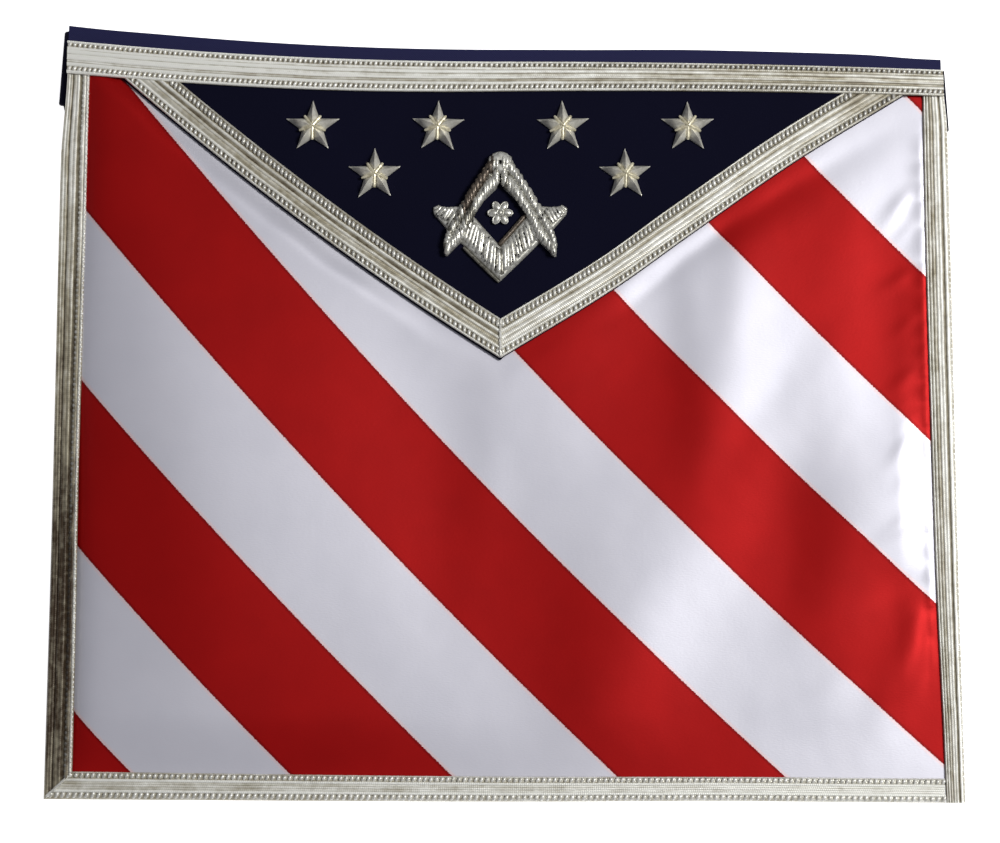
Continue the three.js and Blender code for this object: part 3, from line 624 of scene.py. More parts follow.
def foldRise(x, y):
    rise = foldSum(x, y)
    fromLeft, fromRight = x - openLeft, openRight - x
    # flat under the left braid, rolling up beside it and lower towards the right
    rise *= smoothstep(fromLeft, -4.5, 0.5)
    upper = 1 - 0.95 * smoothstep(x, -120, 175)
    lower = 1 - 0.5 * smoothstep(x, -150, 100) - 0.4 * smoothstep(x, 140, 190)
    rise += panelLook["rollRise"] * (1 - math.exp(-max(fromLeft, 0) / panelLook["rollReach"])) \
        * lerp(lower, upper, smoothstep(y, 125, 215))
    rise *= smoothstep(fromRight, 0, panelLook["rightFade"])
    near = min(fromRight + 2, (flapEdge(x) - 1 - y) / 1.4)
    rise *= smoothstep(near, 0, 9.0 + 3.0 * ripple(x, y, 26, 4.0)) * smoothstep(y, openFoot - 8, openFoot + 26)
    if 0 < fromRight < 30:
        puff = math.sqrt(abs(math.sin(math.pi * y / panelLook["pillowPitch"] + 2.2 * ripple(x, y, 40, 3.0))))
        rise += panelLook["pillowRise"] * puff * math.exp(-(fromRight / panelLook["pillowWidth"]) ** 2) \
            * smoothstep(fromRight, 0, 2.5) * smoothstep(y, 40, 90) * smoothstep(-y, -310, -280)
    return rise


def makePanel():
    columns, rows = panelLook["columns"], panelLook["rows"]
    end = halfWidth - panelLook["inset"]

    def spot(column, row):
        share = column / columns
        x = lerp(-end, end, share * (1 + panelLook["stripeCrowding"] * (1 - share)))
        y = lerp(panelLook["inset"], waistLine(x) - apron["tuck"], row / rows)
        # drawn in a little at the top, like its braids
        x *= 1 - 0.011 * smoothstep(y, 275, 325)
        return x, y

    def placeAt(column, row):
        x, y = spot(column, row)
        wander = 0.10 * ripple(x, y, 38, 1.0) + 0.03 * ripple(x, y, 9, 2.0)
        # clear of the table, bending softly where a dip comes near it
        spare = bed(x, y) + foldRise(x, y) + wander - 0.25
        return toFrame(x, y, 1.1 + (spare + math.hypot(spare, 0.5)) / 2)

    def stripesAt(column, row):
        x, y = spot(column, row)
        return stripeCount(x, y), (y - x) / panelLook["stripeWidth"]

    bm = gridMesh(columns, rows, placeAt, {"stripes": stripesAt, "weave": spot})
    piece = finishPiece(bm, "satin_panel", [satin], ["panel"], 80)
    wall = piece.modifiers.new("thickness", "SOLIDIFY")
    wall.thickness = panelLook["thickness"] * mm
    wall.offset = -1
    return piece


panel = makePanel()
print("satin panel ready")


# velvet flap

flapLook = {
    "columns": 240,
    "rows": 60,
    "thickness": 1.1,
    "leftLip": 0.8,             # velvet showing past the braid on the left arm, made wider as painted shadow of the arm
    "rightLip": 0.3,
}


def makeFlap():
    columns, rows = flapLook["columns"], flapLook["rows"]

    def tall(x):
        return waistLine(x) - apron["tuck"] - flapEdge(x) > apron["tuck"]

    start = lastWhere(apron["flapAxis"], openLeft, tall)
    end = lastWhere(apron["flapAxis"], openRight, tall)

    def spot(column, row):
        share = 2 * column / columns
        x = lerp(start, apron["flapAxis"], share) if share < 1 else lerp(apron["flapAxis"], end, share - 1)
        lip = flapLook["leftLip"] if share <= 1 else flapLook["rightLip"]
        return x, lerp(flapEdge(x) - lip, waistLine(x) - apron["tuck"], row / rows)

    def placeAt(column, row):
        x, y = spot(column, row)
        return toFrame(x, y, bed(x, y) + overPanel + flapLook["thickness"] + 0.08 * ripple(x, y, 22, 5.0))

    bm = gridMesh(columns, rows, placeAt)
    piece = finishPiece(bm, "velvet_flap", [velvet], ["flap"], 80)
    wall = piece.modifiers.new("thickness", "SOLIDIFY")
    wall.thickness = flapLook["thickness"] * mm
    wall.offset = -1
    return piece, end - start


flap, flapSpan = makeFlap()
print("velvet flap ready")


# metal braids
# A braid's pattern: ribs are (place across, half width, rise, tone), all shares but the tone;
# stitch rows are dictionaries. Place 0 is the outer edge and 1 the inner one.

# each braid's table of place and factor scales its tone along the length: painted shade where below 1, painted
# highlight where above 1
waistBraid = {
    "ribs": [(0.035, 0.042, 0.90, 1.0), (0.23, 0.05, 0.74, 0.85), (0.34, 0.07, 0.86, 1.0), (0.455, 0.045, 0.80, 0.8),
             (0.54, 0.05, 0.88, 1.0), (0.63, 0.03, 0.70, 0.6), (0.72, 0.06, 0.84, 0.95), (0.955, 0.05, 0.88, 1.0)],
    "rows": [{"place": 0.115, "pitch": 2.3, "length": 2.4, "width": 1.6, "height": 1.5, "slant": 74, "lean": -1},
             {"place": 0.855, "pitch": 2.3, "length": 3.0, "width": 1.7, "height": 1.6, "slant": 64, "lean": -1}],
    "groove": 0.05,
    "wearAndPaintedLightAxis": 0,
    "wearAndPaintedLight": [(-200.0, 1.4), (-150.0, 1.3), (-90.0, 1.12), (0.0, 0.98), (60.0, 0.78), (120.0, 0.66), (170.0, 0.7),
             (200.0, 0.8)],
}
leftBraid = {
    "ribs": [(0.10, 0.07, 0.80, 1.0), (0.22, 0.05, 0.62, 0.6), (0.40, 0.075, 0.80, 0.75), (0.53, 0.065, 0.84, 0.8),
             (0.79, 0.07, 0.76, 0.75), (0.92, 0.05, 0.84, 0.95)],
    "rows": [{"place": 0.77, "pitch": 2.4, "length": 1.8, "width": 1.9, "height": 0.9, "slant": 62},
             {"place": 0.945, "pitch": 2.2, "length": 1.5, "width": 1.1, "height": 1.4, "slant": 20, "bright": True}],
    "wearAndPaintedLightAxis": 1,
    "wearAndPaintedLight": [(0.0, 0.30), (25.0, 0.20), (61.0, 0.02), (106.0, 0.02), (135.0, 0.22), (170.0, 0.45), (225.0, 0.60),
             (270.0, 0.95), (330.0, 1.05)],
    "brightFrom": 0.87,         # the inner edge is kept out of the painted shade
    "lean": [(0.0, 0.8), (60.0, 2.4), (120.0, 2.6), (180.0, 1.6), (250.0, 0.8), (330.0, 0.2)],
}
rightBraid = {
    "ribs": [(0.08, 0.06, 0.70, 0.75), (0.21, 0.06, 0.86, 1.0), (0.43, 0.075, 0.86, 0.88), (0.56, 0.055, 0.82, 0.85),
             (0.69, 0.06, 0.76, 0.55), (0.82, 0.055, 0.78, 0.72), (0.94, 0.04, 0.80, 0.85)],
    "rows": [{"place": 0.10, "pitch": 2.5, "length": 1.3, "width": 1.3, "height": 0.8, "slant": 65}],
    "ground": 0.3,
}
hemBraid = {
    "ribs": [(0.05, 0.07, 0.60, 0.8), (0.31, 0.06, 0.92, 1.05), (0.42, 0.05, 0.78, 0.75), (0.51, 0.05, 0.80, 0.8),
             (0.60, 0.045, 0.76, 0.75), (0.70, 0.06, 0.95, 1.05), (0.97, 0.03, 0.65, 0.75)],
    "rows": [{"place": 0.165, "pitch": 2.6, "length": 3.1, "width": 1.9, "height": 1.6, "slant": 62, "lean": 1},
             {"place": 0.865, "pitch": 2.5, "length": 2.5, "width": 1.7, "height": 1.3, "slant": 60, "lean": 1}],
    "ground": 0.55,
    "wearAndPaintedLightAxis": 0,
    "wearAndPaintedLight": [(-200.0, 0.88), (-100.0, 0.95), (0.0, 1.1), (200.0, 1.35)],
}
flapLeftBraid = {
    "ribs": [(0.03, 0.035, 0.85, 0.95), (0.245, 0.05, 0.98, 1.0), (0.365, 0.065, 0.82, 0.62), (0.48, 0.05, 0.86, 0.85),
             (0.575, 0.03, 0.55, 0.3), (0.665, 0.05, 0.98, 1.0), (0.975, 0.03, 0.7, 0.8)],
    "rows": [{"place": 0.125, "pitch": 2.4, "length": 3.0, "width": 1.8, "height": 1.5, "slant": 58},
             {"place": 0.84, "pitch": 2.4, "length": 3.4, "width": 1.85, "height": 1.7, "slant": 60}],
    "wearAndPaintedLightAxis": 0,
    "wearAndPaintedLight": [(-175.0, 0.96), (-120.0, 0.75), (-60.0, 0.79), (0.0, 0.90)],
}
flapRightBraid = dict(flapLeftBraid, ground=0.5, wearAndPaintedLight=[(0.0, 0.92), (70.0, 0.80), (130.0, 0.85), (172.0, 0.52)],
                      ribs=[(0.03, 0.035, 0.85, 0.95), (0.245, 0.05, 0.98, 1.0), (0.37, 0.07, 0.84, 0.9),
                            (0.49, 0.06, 0.88, 1.0), (0.575, 0.03, 0.60, 0.5), (0.665, 0.055, 0.98, 1.0),
                            (0.975, 0.03, 0.7, 0.9)])
braidFineness = 44              # points across a braid's face


def faceAt(pattern, across):
    # height share and tone of a braid's face: the tone is a painted highlight on the crests and painted shade between
    best, tone = 0.18, pattern.get("ground", 0.24)
    for place, half, rise, ribTone in pattern["ribs"]:
        off = (across - place) / half
        if abs(off) < 1.25:
            hump = math.sqrt(1 - (off / 1.25) ** 2)
            height = 0.14 + (rise - 0.14) * hump
            if height > best:
                best, tone = height, ribTone * lerp(pattern.get("groove", 0.4), 1.0, smoothstep(hump, 0.4, 0.9))
    edge = min(across, 1 - across)
    return best * (0.55 + 0.45 * smoothstep(edge, 0, 0.03)), tone


def braidSection(pattern, width, base, rolled):
    # (distance from the outer edge, rise over the bed, tone), round the whole section
    points = []
    start = 0.0
    if rolled:
        top, foot = overPanel + braidRise * 0.8, -clearance - 0.9
        radius, centre = (top - foot) / 2, (top + foot) / 2
        start = radius
        points += [(width, overPanel, 0.2), (1.0, overPanel, 0.2), (1.0, -clearance, 0.2),
                   (9.0, -clearance, 0.2), (9.0, foot, 0.2)]
        for k in range(1, 10):
            turn = math.pi * k / 10
            points.append((radius - radius * math.sin(turn), centre - radius * math.cos(turn), 0.6))
    else:
        points += [(width, base, 0.2), (0.0, base, 0.2)]
    for k in range(braidFineness + 1):
        t = lerp(start, width, k / braidFineness)
        rise, tone = faceAt(pattern, t / width)
        points.append((t, base + rise * braidRise, tone))
    return points


def makeBraid(name, node, pattern, width, base, stations, lineAt, rolled=False, seed=1, seams=()):
    # the braid's table paints shade and highlight into its tone along the length; some braids are also lifted on their
    # inner side
    draws = random.Random(seed)
    section = braidSection(pattern, width, base, rolled)
    # a worn braid is browner and lifted on its inner side
    axis, wearAndPaintedLight = pattern.get("wearAndPaintedLightAxis", 0), pattern.get("wearAndPaintedLight", [(0.0, 1.0)])
    lean = pattern.get("lean", [(0.0, 0.0)])
    lineLength = 0.0
    marks = [(0.0, 0.0)]
    for k in range(1, 241):
        a, b = lineAt(width / 2, (k - 1) / 240), lineAt(width / 2, k / 240)
        lineLength += math.dist(a, b)
        marks.append((lineLength, k / 240))

    def placeAt(column, row):
        t, rise, tone = section[column % len(section)]
        share = row / stations
        # ribs wander a little, as hand-guided braid does
        shift = 0.16 * ripple(share * lineLength, 0, 21, seed) * math.sin(math.pi * min(max(t / width, 0), 1))
        lift = 0.07 * ripple(share * lineLength, t * 3, 6, seed + 0.5)
        x, y = lineAt(t + shift, share)
        lift = (lift if rise > base + 0.2 else 0) + smoothTable(lean, y) * t / width
        return toFrame(x, y, bed(x, y) + rise + lift)

    def uvAt(column, row):
        return section[column % len(section)][0], row / stations * lineLength

    def toneAt(column, row):
        t, rise, tone = section[column % len(section)]
        share = row / stations
        fade = smoothTable(wearAndPaintedLight, lineAt(t, share)[axis])
        if t / width > pattern.get("brightFrom", 2):
            fade = max(fade, 0.8)
        # painted highlight and shade in soft streaks along the ribs
        sheenStreak = 0.25 * ripple(share * lineLength, t * 6, 11, seed + 0.7) if rise > base + 0.3 else 0
        return max(tone * fade + sheenStreak, 0)

    bm = gridMesh(len(section), stations, placeAt, {"weave": uvAt}, toneAt, closed=True)
    toneLayer = bm.verts.layers.float["tone"]
    ribFaces = set(bm.faces)
    for row in pattern["rows"]:
        known = set(bm.verts)
        count = int((lineLength + 2) / row["pitch"])
        t = row["place"] * width
        for k in range(-1, count + 1):
            reach = (k + 0.5) * row["pitch"]
            if not 0 < reach < lineLength:
                continue
            step = next(n for n in range(1, len(marks)) if marks[n][0] >= reach)
            (s0, h0), (s1, h1) = marks[step - 1], marks[step]
            share = lerp(h0, h1, (reach - s0) / (s1 - s0))
            x, y = lineAt(t, share)
            ahead = lineAt(t, min(share + 0.002, 1))
            back = lineAt(t, max(share - 0.002, 0))
            inner = lineAt(t + 0.4, share)
            run = math.atan2(ahead[1] - back[1], ahead[0] - back[0])
            hand = 1 if math.sin(math.atan2(inner[1] - y, inner[0] - x) - run) > 0 else -1
            turn = run + hand * math.radians(row["slant"] * row.get("lean", 1) + draws.uniform(-4, 4))
            rise = base + braidRise * 0.50 + 0.06 * draws.uniform(-1, 1)
            size = (row["length"] * draws.uniform(0.93, 1.07), row["width"] * draws.uniform(0.92, 1.05),
                    row["height"])
            addBead(bm, toFrame(x, y, bed(x, y) + rise + smoothTable(lean, y) * row["place"]), size, turn)
        # stitches take the braid's painted shade, or stay bright
        for vert in bm.verts:
            if vert not in known:
                fade = smoothTable(wearAndPaintedLight, vert.co[axis] / mm - frameShift[axis])
                vert[toneLayer] = 1.0 if row.get("bright") else min(fade, 1.0)
    known = set(bm.verts)
    layWires(bm, [([toFrame(x, y, bed(x, y) + base + braidRise * 0.9) for x, y in points], radius, 0.7)
                  for points, radius in seams])
    for face in bm.faces:
        if face not in ribFaces:
            face.material_index = 1
    for vert in bm.verts:
        if vert not in known:
            vert[toneLayer] = 0.9
    return finishPiece(bm, name, [braid, purl], [node], 60)


# how the sewn braids wander from straight: place along, then share of the width or millimetres
leftTaper = [(0.0, 1.05), (60.0, 1.06), (150.0, 1.01), (270.0, 1.06), (330.0, 1.04)]
rightTaper = [(0.0, 0.84), (30.0, 0.88), (88.0, 1.0), (160.0, 1.08), (223.0, 1.13), (300.0, 1.10), (330.0, 1.05)]
hemTaper = [(-200.0, 1.06), (-100.0, 1.0), (60.0, 0.93), (200.0, 0.92)]
hemSag = [(-200.0, 0.4), (-110.0, -0.2), (0.0, -0.7), (100.0, -0.5), (170.0, -1.1), (200.0, -1.3)]
waistEnds = (2.2, 1.7)          # the waist braid stops this short of the apron's sides


def waistRun(t, share):
    x = lerp(-halfWidth + waistEnds[0], halfWidth - waistEnds[1], share)
    return x, lerp(waistLine(x), waistBraidFoot(x), t / apron["waistBraidWidth"]) - 0.5 * (1 - (x / halfWidth) ** 2)


def leftRun(t, share):
    y = lerp(t * hemBraidWidth / leftBraidWidth + clearance, waistLine(-halfWidth) - apron["tuck"], share)
    swing = (1 - t / leftBraidWidth) * 2.0 * smoothstep(y, 285, 330)
    return -halfWidth + t * smoothTable(leftTaper, y) + swing, y


def rightRun(t, share):
    y = lerp(-1.1, waistLine(halfWidth) - apron["tuck"], share)
    swing = (1 - t / rightBraidWidth) * 1.5 * smoothstep(y, 300, 328)
    return halfWidth - t * smoothTable(rightTaper, y) - swing, y


def hemRun(t, share):
    mitre = -halfWidth + t * leftBraidWidth / hemBraidWidth
    x = lerp(mitre, halfWidth - 0.86 * rightBraidWidth - clearance, share)
    return x, t * smoothTable(hemTaper, x) + smoothTable(hemSag, x)


def flapRun(side):
    def slopedLine(x, t):
        step = side * clearance
        slope = (flapEdge(x + step) - flapEdge(x)) / step
        return flapEdge(x) + t * math.hypot(1, slope)

    start = apron["flapAxis"] + side * clearance / 2
    ends = [lastWhere(start, side * halfWidth, lambda x: slopedLine(x, k * 0.5) < waistBraidFoot(x) - clearance)
            for k in range(-2, 36)]

    def lineAt(t, share):
        k = int(t * 2 + 2)
        x = lerp(start, lerp(ends[k], ends[k + 1], t * 2 + 2 - k), share)
        return x, slopedLine(x, t)
    return lineAt


def mitre(start, end, count=12):
    # a plied cord over the joint of two braids
    return [(lerp(start[0], end[0], k / count) + 0.12 * math.sin(2.2 * k), lerp(start[1], end[1], k / count))
            for k in range(count + 1)]


cornerSeam = mitre((-halfWidth + 1.2, 1.4), (-halfWidth + leftBraidWidth - 0.6, hemBraidWidth - 0.4))
tipSeam = mitre((apron["flapAxis"] + 0.1, apron["flapTip"] + 0.8), (apron["flapAxis"] + 0.1, apron["flapTip"] + 17.2))
makeBraid("waist_braid_ribs", "waist_braid", waistBraid, apron["waistBraidWidth"], underWaistBraid, 320,
          waistRun, seed=11)
makeBraid("left_braid_ribs", "left_braid", leftBraid, leftBraidWidth, overPanel, 270, leftRun, True, 12)
makeBraid("right_braid_ribs", "right_braid", rightBraid, rightBraidWidth, overPanel, 270, rightRun, True, 13)
makeBraid("hem_braid_ribs", "hem_braid", hemBraid, hemBraidWidth, overPanel, 320, hemRun, True, 14,
          seams=[(cornerSeam, 0.7)])
makeBraid("flap_braid_left_ribs", "flap_braid_left", flapLeftBraid, flapBraidWidth, overFlap, 190,
          flapRun(-1), seed=15, seams=[(tipSeam, 0.75)])
makeBraid("flap_braid_right_ribs", "flap_braid_right", flapRightBraid, flapBraidWidth, overFlap, 190,
          flapRun(1), seed=16)
print("braids ready")


# stars

starLook = {
    "radius": 12.7,
    "notch": 0.40,
    "height": 4.5,
    "valley": 0.36,
    "edge": 0.4,
    "hub": 2.3,                 # height at the middle, under the cords
    "pitch": 56.9,
    "threadPitch": 1.0,
    "threadDepth": 0.03,
    "cordReach": 6.2,
    "cordRadius": 0.72,
    "cuts": 20,
}
starPlaces = [(-1.5, 302.0), (-0.5, 302.0), (0.5, 302.0), (1.5, 302.0), (-1.0, 279.8), (1.0, 279.8)]
starTurns = [0.0, -1.5, 1.0, 0.0, 0.5, 1.0]      # each is sewn on a little turned, in degrees


def onFlap(x, y, z):
    return toFrame(x, y, bed(x, y) + overFlap + z)


def makeStar(index):
    across, height = starPlaces[index]
    cx, cy = apron["flapAxis"] + across * starLook["pitch"], height
    draws = random.Random(40 + index)
    turn = math.pi / 2 + math.radians(starTurns[index])
    corners = []
    for k in range(10):
        angle = turn + k * math.pi / 5
        reach = starLook["radius"] * (draws.uniform(0.95, 1.02) if k % 2 == 0 else starLook["notch"])
        corners.append(Vector((reach * math.cos(angle), reach * math.sin(angle))))
    bm = bmesh.new()
    middle = bm.verts.new((0, 0, 0))
    ring = [bm.verts.new((c.x, c.y, 0)) for c in corners]
    for k in range(10):
        bm.faces.new((middle, ring[k], ring[(k + 1) % 10]))
    bmesh.ops.subdivide_edges(bm, edges=bm.edges, cuts=starLook["cuts"], use_grid_fill=True)
    rim = [edge for edge in bm.edges if edge.is_boundary]
    walls = bmesh.ops.extrude_edge_only(bm, edges=rim)["geom"]
    foot = {vert for vert in walls if isinstance(vert, bmesh.types.BMVert)}
    notchAlong = starLook["radius"] * starLook["notch"] * math.cos(math.pi / 5)
    notchAside = starLook["radius"] * starLook["notch"] * math.sin(math.pi / 5)
    for vert in bm.verts:
        spot = Vector((vert.co.x, vert.co.y))
        tip = max(corners[::2], key=lambda c: spot.dot(c.normalized()))
        arm, reach = tip.normalized(), tip.length
        along, aside = spot.dot(arm), abs(arm.x * spot.y - arm.y * spot.x)
        if along < notchAlong:
            half = along * math.tan(math.pi / 5)
        else:
            half = notchAside * (reach - along) / (reach - notchAlong)
        share = max(1 - aside / max(half, 0.01), 0)
        # a sharp ridge runs from the tip to the middle, a valley from each notch
        ridge = lerp(starLook["edge"], starLook["height"], smoothstep(reach - along, 0, 0.5 * reach))
        low = lerp(starLook["edge"], starLook["valley"], smoothstep(notchAlong - along, 0, 2.0))
        crown = lerp(low, ridge, share ** 0.85)
        crown = lerp(starLook["hub"], crown, smoothstep(spot.length, 0, 3.0))
        thread = starLook["threadDepth"] * math.sin(2 * math.pi * (along + 0.75 * aside) / starLook["threadPitch"])
        z = 0.0 if vert in foot else crown + thread * min(share * 4, 1)
        vert.co = onFlap(cx + spot.x, cy + spot.y, z)
    cords = []
    for k in range(5):
        angle = turn + (2 * k + 1) * math.pi / 5 + draws.uniform(-0.04, 0.04)
        points = []
        for j in range(9):
            reach = lerp(0.2, starLook["cordReach"], j / 8)
            points.append(onFlap(cx + reach * math.cos(angle), cy + reach * math.sin(angle), lerp(3.0, 1.6, j / 8)))
        cords.append((points, starLook["cordRadius"], 0.7))
    layWires(bm, cords, 2, 0.06, 1)
    bmesh.ops.recalc_face_normals(bm, faces=bm.faces)
    name = f"star_{index + 1}"
    return finishPiece(bm, name + "_wires", [starWire, gimp], [name], 28)


for index in range(6):
    makeStar(index)
print("stars ready")


# emblem

squareLook = {
    "halfWidth": 30.4,
    "height": 35.4,
    "foot": 230.7,
    "rise": 2.5,
    "wires": 22,
    "wireRadius": 1.65,
    "sink": 1.30,               # how deep the wires lie in the padding
    "flecks": 34,
    # share of wires in grey painted shade on the left and the right arm
    "dull": (0.14, 0.12),
    # shares of the half width and height, from the foot to the wing
    "outer": [(0.0, 0.0), (0.30, 0.25), (0.59, 0.50), (0.78, 0.66), (0.99, 0.87), (1.0, 0.93)],
    "inner": [(0.0, 0.455), (0.19, 0.64), (0.37, 0.82), (0.58, 0.98), (0.78, 0.965), (0.93, 0.98)],
    "rolls": [(0.0, 1.0, 0.72)],        # across the arm: start, end, flatness
}
legLook = {
    "spread": 24.8,
    "height": 48.0,
    "foot": 242.2,
    "rise": 4.1,
    "wires": 36,
    "wireRadius": 1.35,
    "sink": 1.12,
    "flecks": 16,
    "dull": (0.34, 0.02),       # share of wires in grey painted shade on the left and the right arm
    "outer": [(0.14, 0.955), (0.40, 0.755), (0.64, 0.560), (0.78, 0.420), (0.93, 0.240), (1.0, 0.120), (1.0, 0.0)],
    "inner": [(0.04, 0.78), (0.06, 0.65), (0.29, 0.535), (0.46, 0.405), (0.60, 0.26), (0.70, 0.14), (0.97, 0.0)],
    "rolls": [(0.0, 0.44, 0.55), (0.48, 1.0, 0.55)],
}
headLook = {
    "radius": 5.4,
    "rise": 4.2,
    "eyelet": 0.95,
}
rosetteLook = {
    "petals": 6,
    "reach": 5.6,
    "height": 262.0,
    "rise": 2.0,
}


def alongLine(points, share):
    # place at a share of a line's length
    lengths = [math.dist(a, b) for a, b in zip(points, points[1:])]
    left = share * sum(lengths)
    for (a, b), length in zip(zip(points, points[1:]), lengths):
        if left <= length or (a, b) == (points[-2], points[-1]):
            part = min(left / length, 1)
            return (lerp(a[0], b[0], part), lerp(a[1], b[1], part))
        left -= length


def makeArm(bm, side, look, width, slant, draws, columns=40, rows=16):
    # one padded arm between an outer and an inner line, in rolls, with wires laid across each
    axis = apron["flapAxis"]
    outer = [(axis + side * a * width, look["foot"] + u * look["height"]) for a, u in look["outer"]]
    inner = [(axis + side * a * width, look["foot"] + u * look["height"]) for a, u in look["inner"]]

    def crown(share):
        best = 0.25
        for low, high, flat in look["rolls"]:
            if low < share < high:
                hump = math.sin(math.pi * (share - low) / (high - low)) ** 0.55
                best = max(best, flat + (1 - flat) * hump)
        return look["rise"] * best

    def swell(a, b):
        # lower and finer where the arm runs out
        return min(max(math.dist(a, b) / 7.0, 0.5), 1.0)

    def placeAt(column, row):
        a = alongLine(outer, min(column, columns) / columns)
        b = alongLine(inner, min(column, columns) / columns)
        share = row / rows
        z = (crown(share) * swell(a, b) - 0.5) if 0 < row < rows else 0.0
        return onFlap(lerp(a[0], b[0], share), lerp(a[1], b[1], share), z)

    pad = gridMesh(columns, rows, placeAt)
    mesh = bpy.data.meshes.new("pad")
    pad.to_mesh(mesh)
    pad.free()
    bm.from_mesh(mesh)
    bpy.data.meshes.remove(mesh)
    for low, high, flat in look["rolls"]:
        wires = {0: [], 1: [], 3: []}
        count = look["wires"]
        for k in range(count):
            share = lerp(-slant, 1, (k + 0.5) / count)
            a = alongLine(outer, min(max(share + draws.uniform(-0.022, 0.022), 0), 1))
            b = alongLine(inner, min(max(share + slant + draws.uniform(-0.022, 0.022), 0), 1))
            start = lerp(low, high, draws.uniform(0.06, 0.14))
            stop = lerp(low, high, draws.uniform(0.86, 0.94))
            points = []
            for j in range(10):
                part = lerp(start, stop, j / 9)
                z = (crown(lerp(low + 0.02, high - 0.02, j / 9)) - look["sink"]) * swell(a, b)
                z += 0.08 * draws.uniform(-1, 1)
                points.append(onFlap(lerp(a[0], b[0], part), lerp(a[1], b[1], part), z))
            wire = (points, look["wireRadius"] * swell(a, b) * draws.uniform(0.88, 1.1), 0.4)
            # painted shade: the upper outer side of the left leg in brown shade wire, a share of the other wires in
            # grey shade wire
            inBrownShade = side < 0 and high < 0.5 and share < 0.45
            dull = draws.random() < look["dull"][0 if side < 0 else 1]
            wires[1 if inBrownShade else 3 if dull else 0].append(wire)
        for finish, group in wires.items():
            if group:
                layWires(bm, group, 2, 0.06, finish)
    # painted shade: black flecks where two wires part
    known = set(bm.faces)
    for k in range(look["flecks"]):
        share, across = draws.uniform(0.05, 0.93), draws.uniform(0.12, 0.88)
        a, b = alongLine(outer, share), alongLine(inner, min(share + slant, 1))
        way = math.atan2(b[1] - a[1], b[0] - a[0]) + draws.uniform(-0.2, 0.2)
        addBead(bm, onFlap(lerp(a[0], b[0], across), lerp(a[1], b[1], across), crown(across) * swell(a, b) + 0.2),
                (draws.uniform(1.0, 2.0), 0.42, 0.8), way)
    for face in bm.faces:
        if face not in known:
            face.material_index = 2
    return outer, inner


def makeSquare():
    bm = bmesh.new()
    draws = random.Random(61)
    for side in (-1, 1):
        outer, inner = makeArm(bm, side, squareLook, squareLook["halfWidth"], 0.0, draws)
        # painted shade: the padding's side wall as a dark cord, grey outside on the left arm, brown inside on the
        # right one
        walls = [(outer, 0.45, -0.45, 0.8, 3)]
        if side > 0:
            walls = [(inner, 0.5, 0.35, 1.1, 1)]
        for line, left, up, radius, finish in walls:
            wall = []
            for k in range(13):
                x, y = alongLine(line, lerp(0.0, 0.50, k / 12))
                wall.append(onFlap(x - left, y + up, 0.8))
            layWires(bm, [(wall, radius, 0.8)], 2, 0.0, finish)
    bmesh.ops.recalc_face_normals(bm, faces=bm.faces)
    return finishPiece(bm, "square_wires", [bullion, shadeBrownWire, shadeBlack, shadeGreyWire], ["square"], 70)


def makeLeg(side, name):
    bm = bmesh.new()
    draws = random.Random(70 + side)
    outer, inner = makeArm(bm, side, legLook, legLook["spread"], 0.28, draws)
    if side > 0:
        # painted shade: a black bead for the hollow behind the leaf of the right leg
        known = set(bm.faces)
        addBead(bm, onFlap(apron["flapAxis"] + 9.0, 270.4, 3.4), (2.4, 1.5, 1.6), math.radians(-40))
        for face in bm.faces:
            if face not in known:
                face.material_index = 2
    bmesh.ops.recalc_face_normals(bm, faces=bm.faces)
    return finishPiece(bm, name + "_wires", [bullion, shadeBrownWire, shadeBlack, shadeGreyWire], [name], 70)


def makeHead():
    bm = bmesh.new()
    radius, rise, eyelet = headLook["radius"], headLook["rise"], headLook["eyelet"]
    cx, cy = apron["flapAxis"], legLook["foot"] + legLook["height"] - radius
    profile = [(radius, 0.0), (radius, 1.2), (radius * 0.97, 2.6), (radius * 0.88, 3.6), (radius * 0.66, rise),
               (radius * 0.3, rise + 0.05), (eyelet, rise - 0.2), (eyelet * 0.9, rise - 1.5), (0.0, rise - 1.6)]
    verts = [bm.verts.new((x, 0, z)) for x, z in profile]
    edges = [bm.edges.new(pair) for pair in zip(verts, verts[1:])]
    bmesh.ops.spin(bm, geom=verts + edges, cent=(0, 0, 0), axis=(0, 0, 1), angle=2 * math.pi, steps=32,
                   use_merge=True)
    bmesh.ops.remove_doubles(bm, verts=bm.verts, dist=1e-4)
    bmesh.ops.recalc_face_normals(bm, faces=bm.faces)
    # the eyelet's floor in black painted shade
    for face in bm.faces:
        if all(math.hypot(v.co.x, v.co.y) < eyelet + 0.01 for v in face.verts):
            face.material_index = 1
    for vert in bm.verts:
        lump = 0.16 * ripple(vert.co.x, vert.co.y, 2.2, 9.0) if vert.co.z > 1.5 else 0.0
        vert.co = onFlap(cx + vert.co.x, cy + vert.co.y, vert.co.z + lump)
    # wires laid side by side over the disc
    draws = random.Random(81)
    wires = []
    for k in range(7):
        off = lerp(-0.80, 0.80, k / 6) * radius
        if abs(off) < eyelet:
            continue
        reach = math.sqrt(radius ** 2 - off ** 2)
        points = [onFlap(cx + off + 0.1 * draws.uniform(-1, 1), cy + reach * t,
                         lerp(rise, 2.4, abs(t) ** 3) - 0.66 - 1.1 * (off / radius) ** 4)
                  for t in (-0.88, -0.7, -0.5, -0.3, -0.1, 0.1, 0.3, 0.5, 0.7, 0.88)]
        wires.append((points, 0.95, 0.7))
    layWires(bm, wires, 2, 0.05)
    return finishPiece(bm, "compass_head_wires", [bullion, shadeBlack], ["compass_head"], 60)


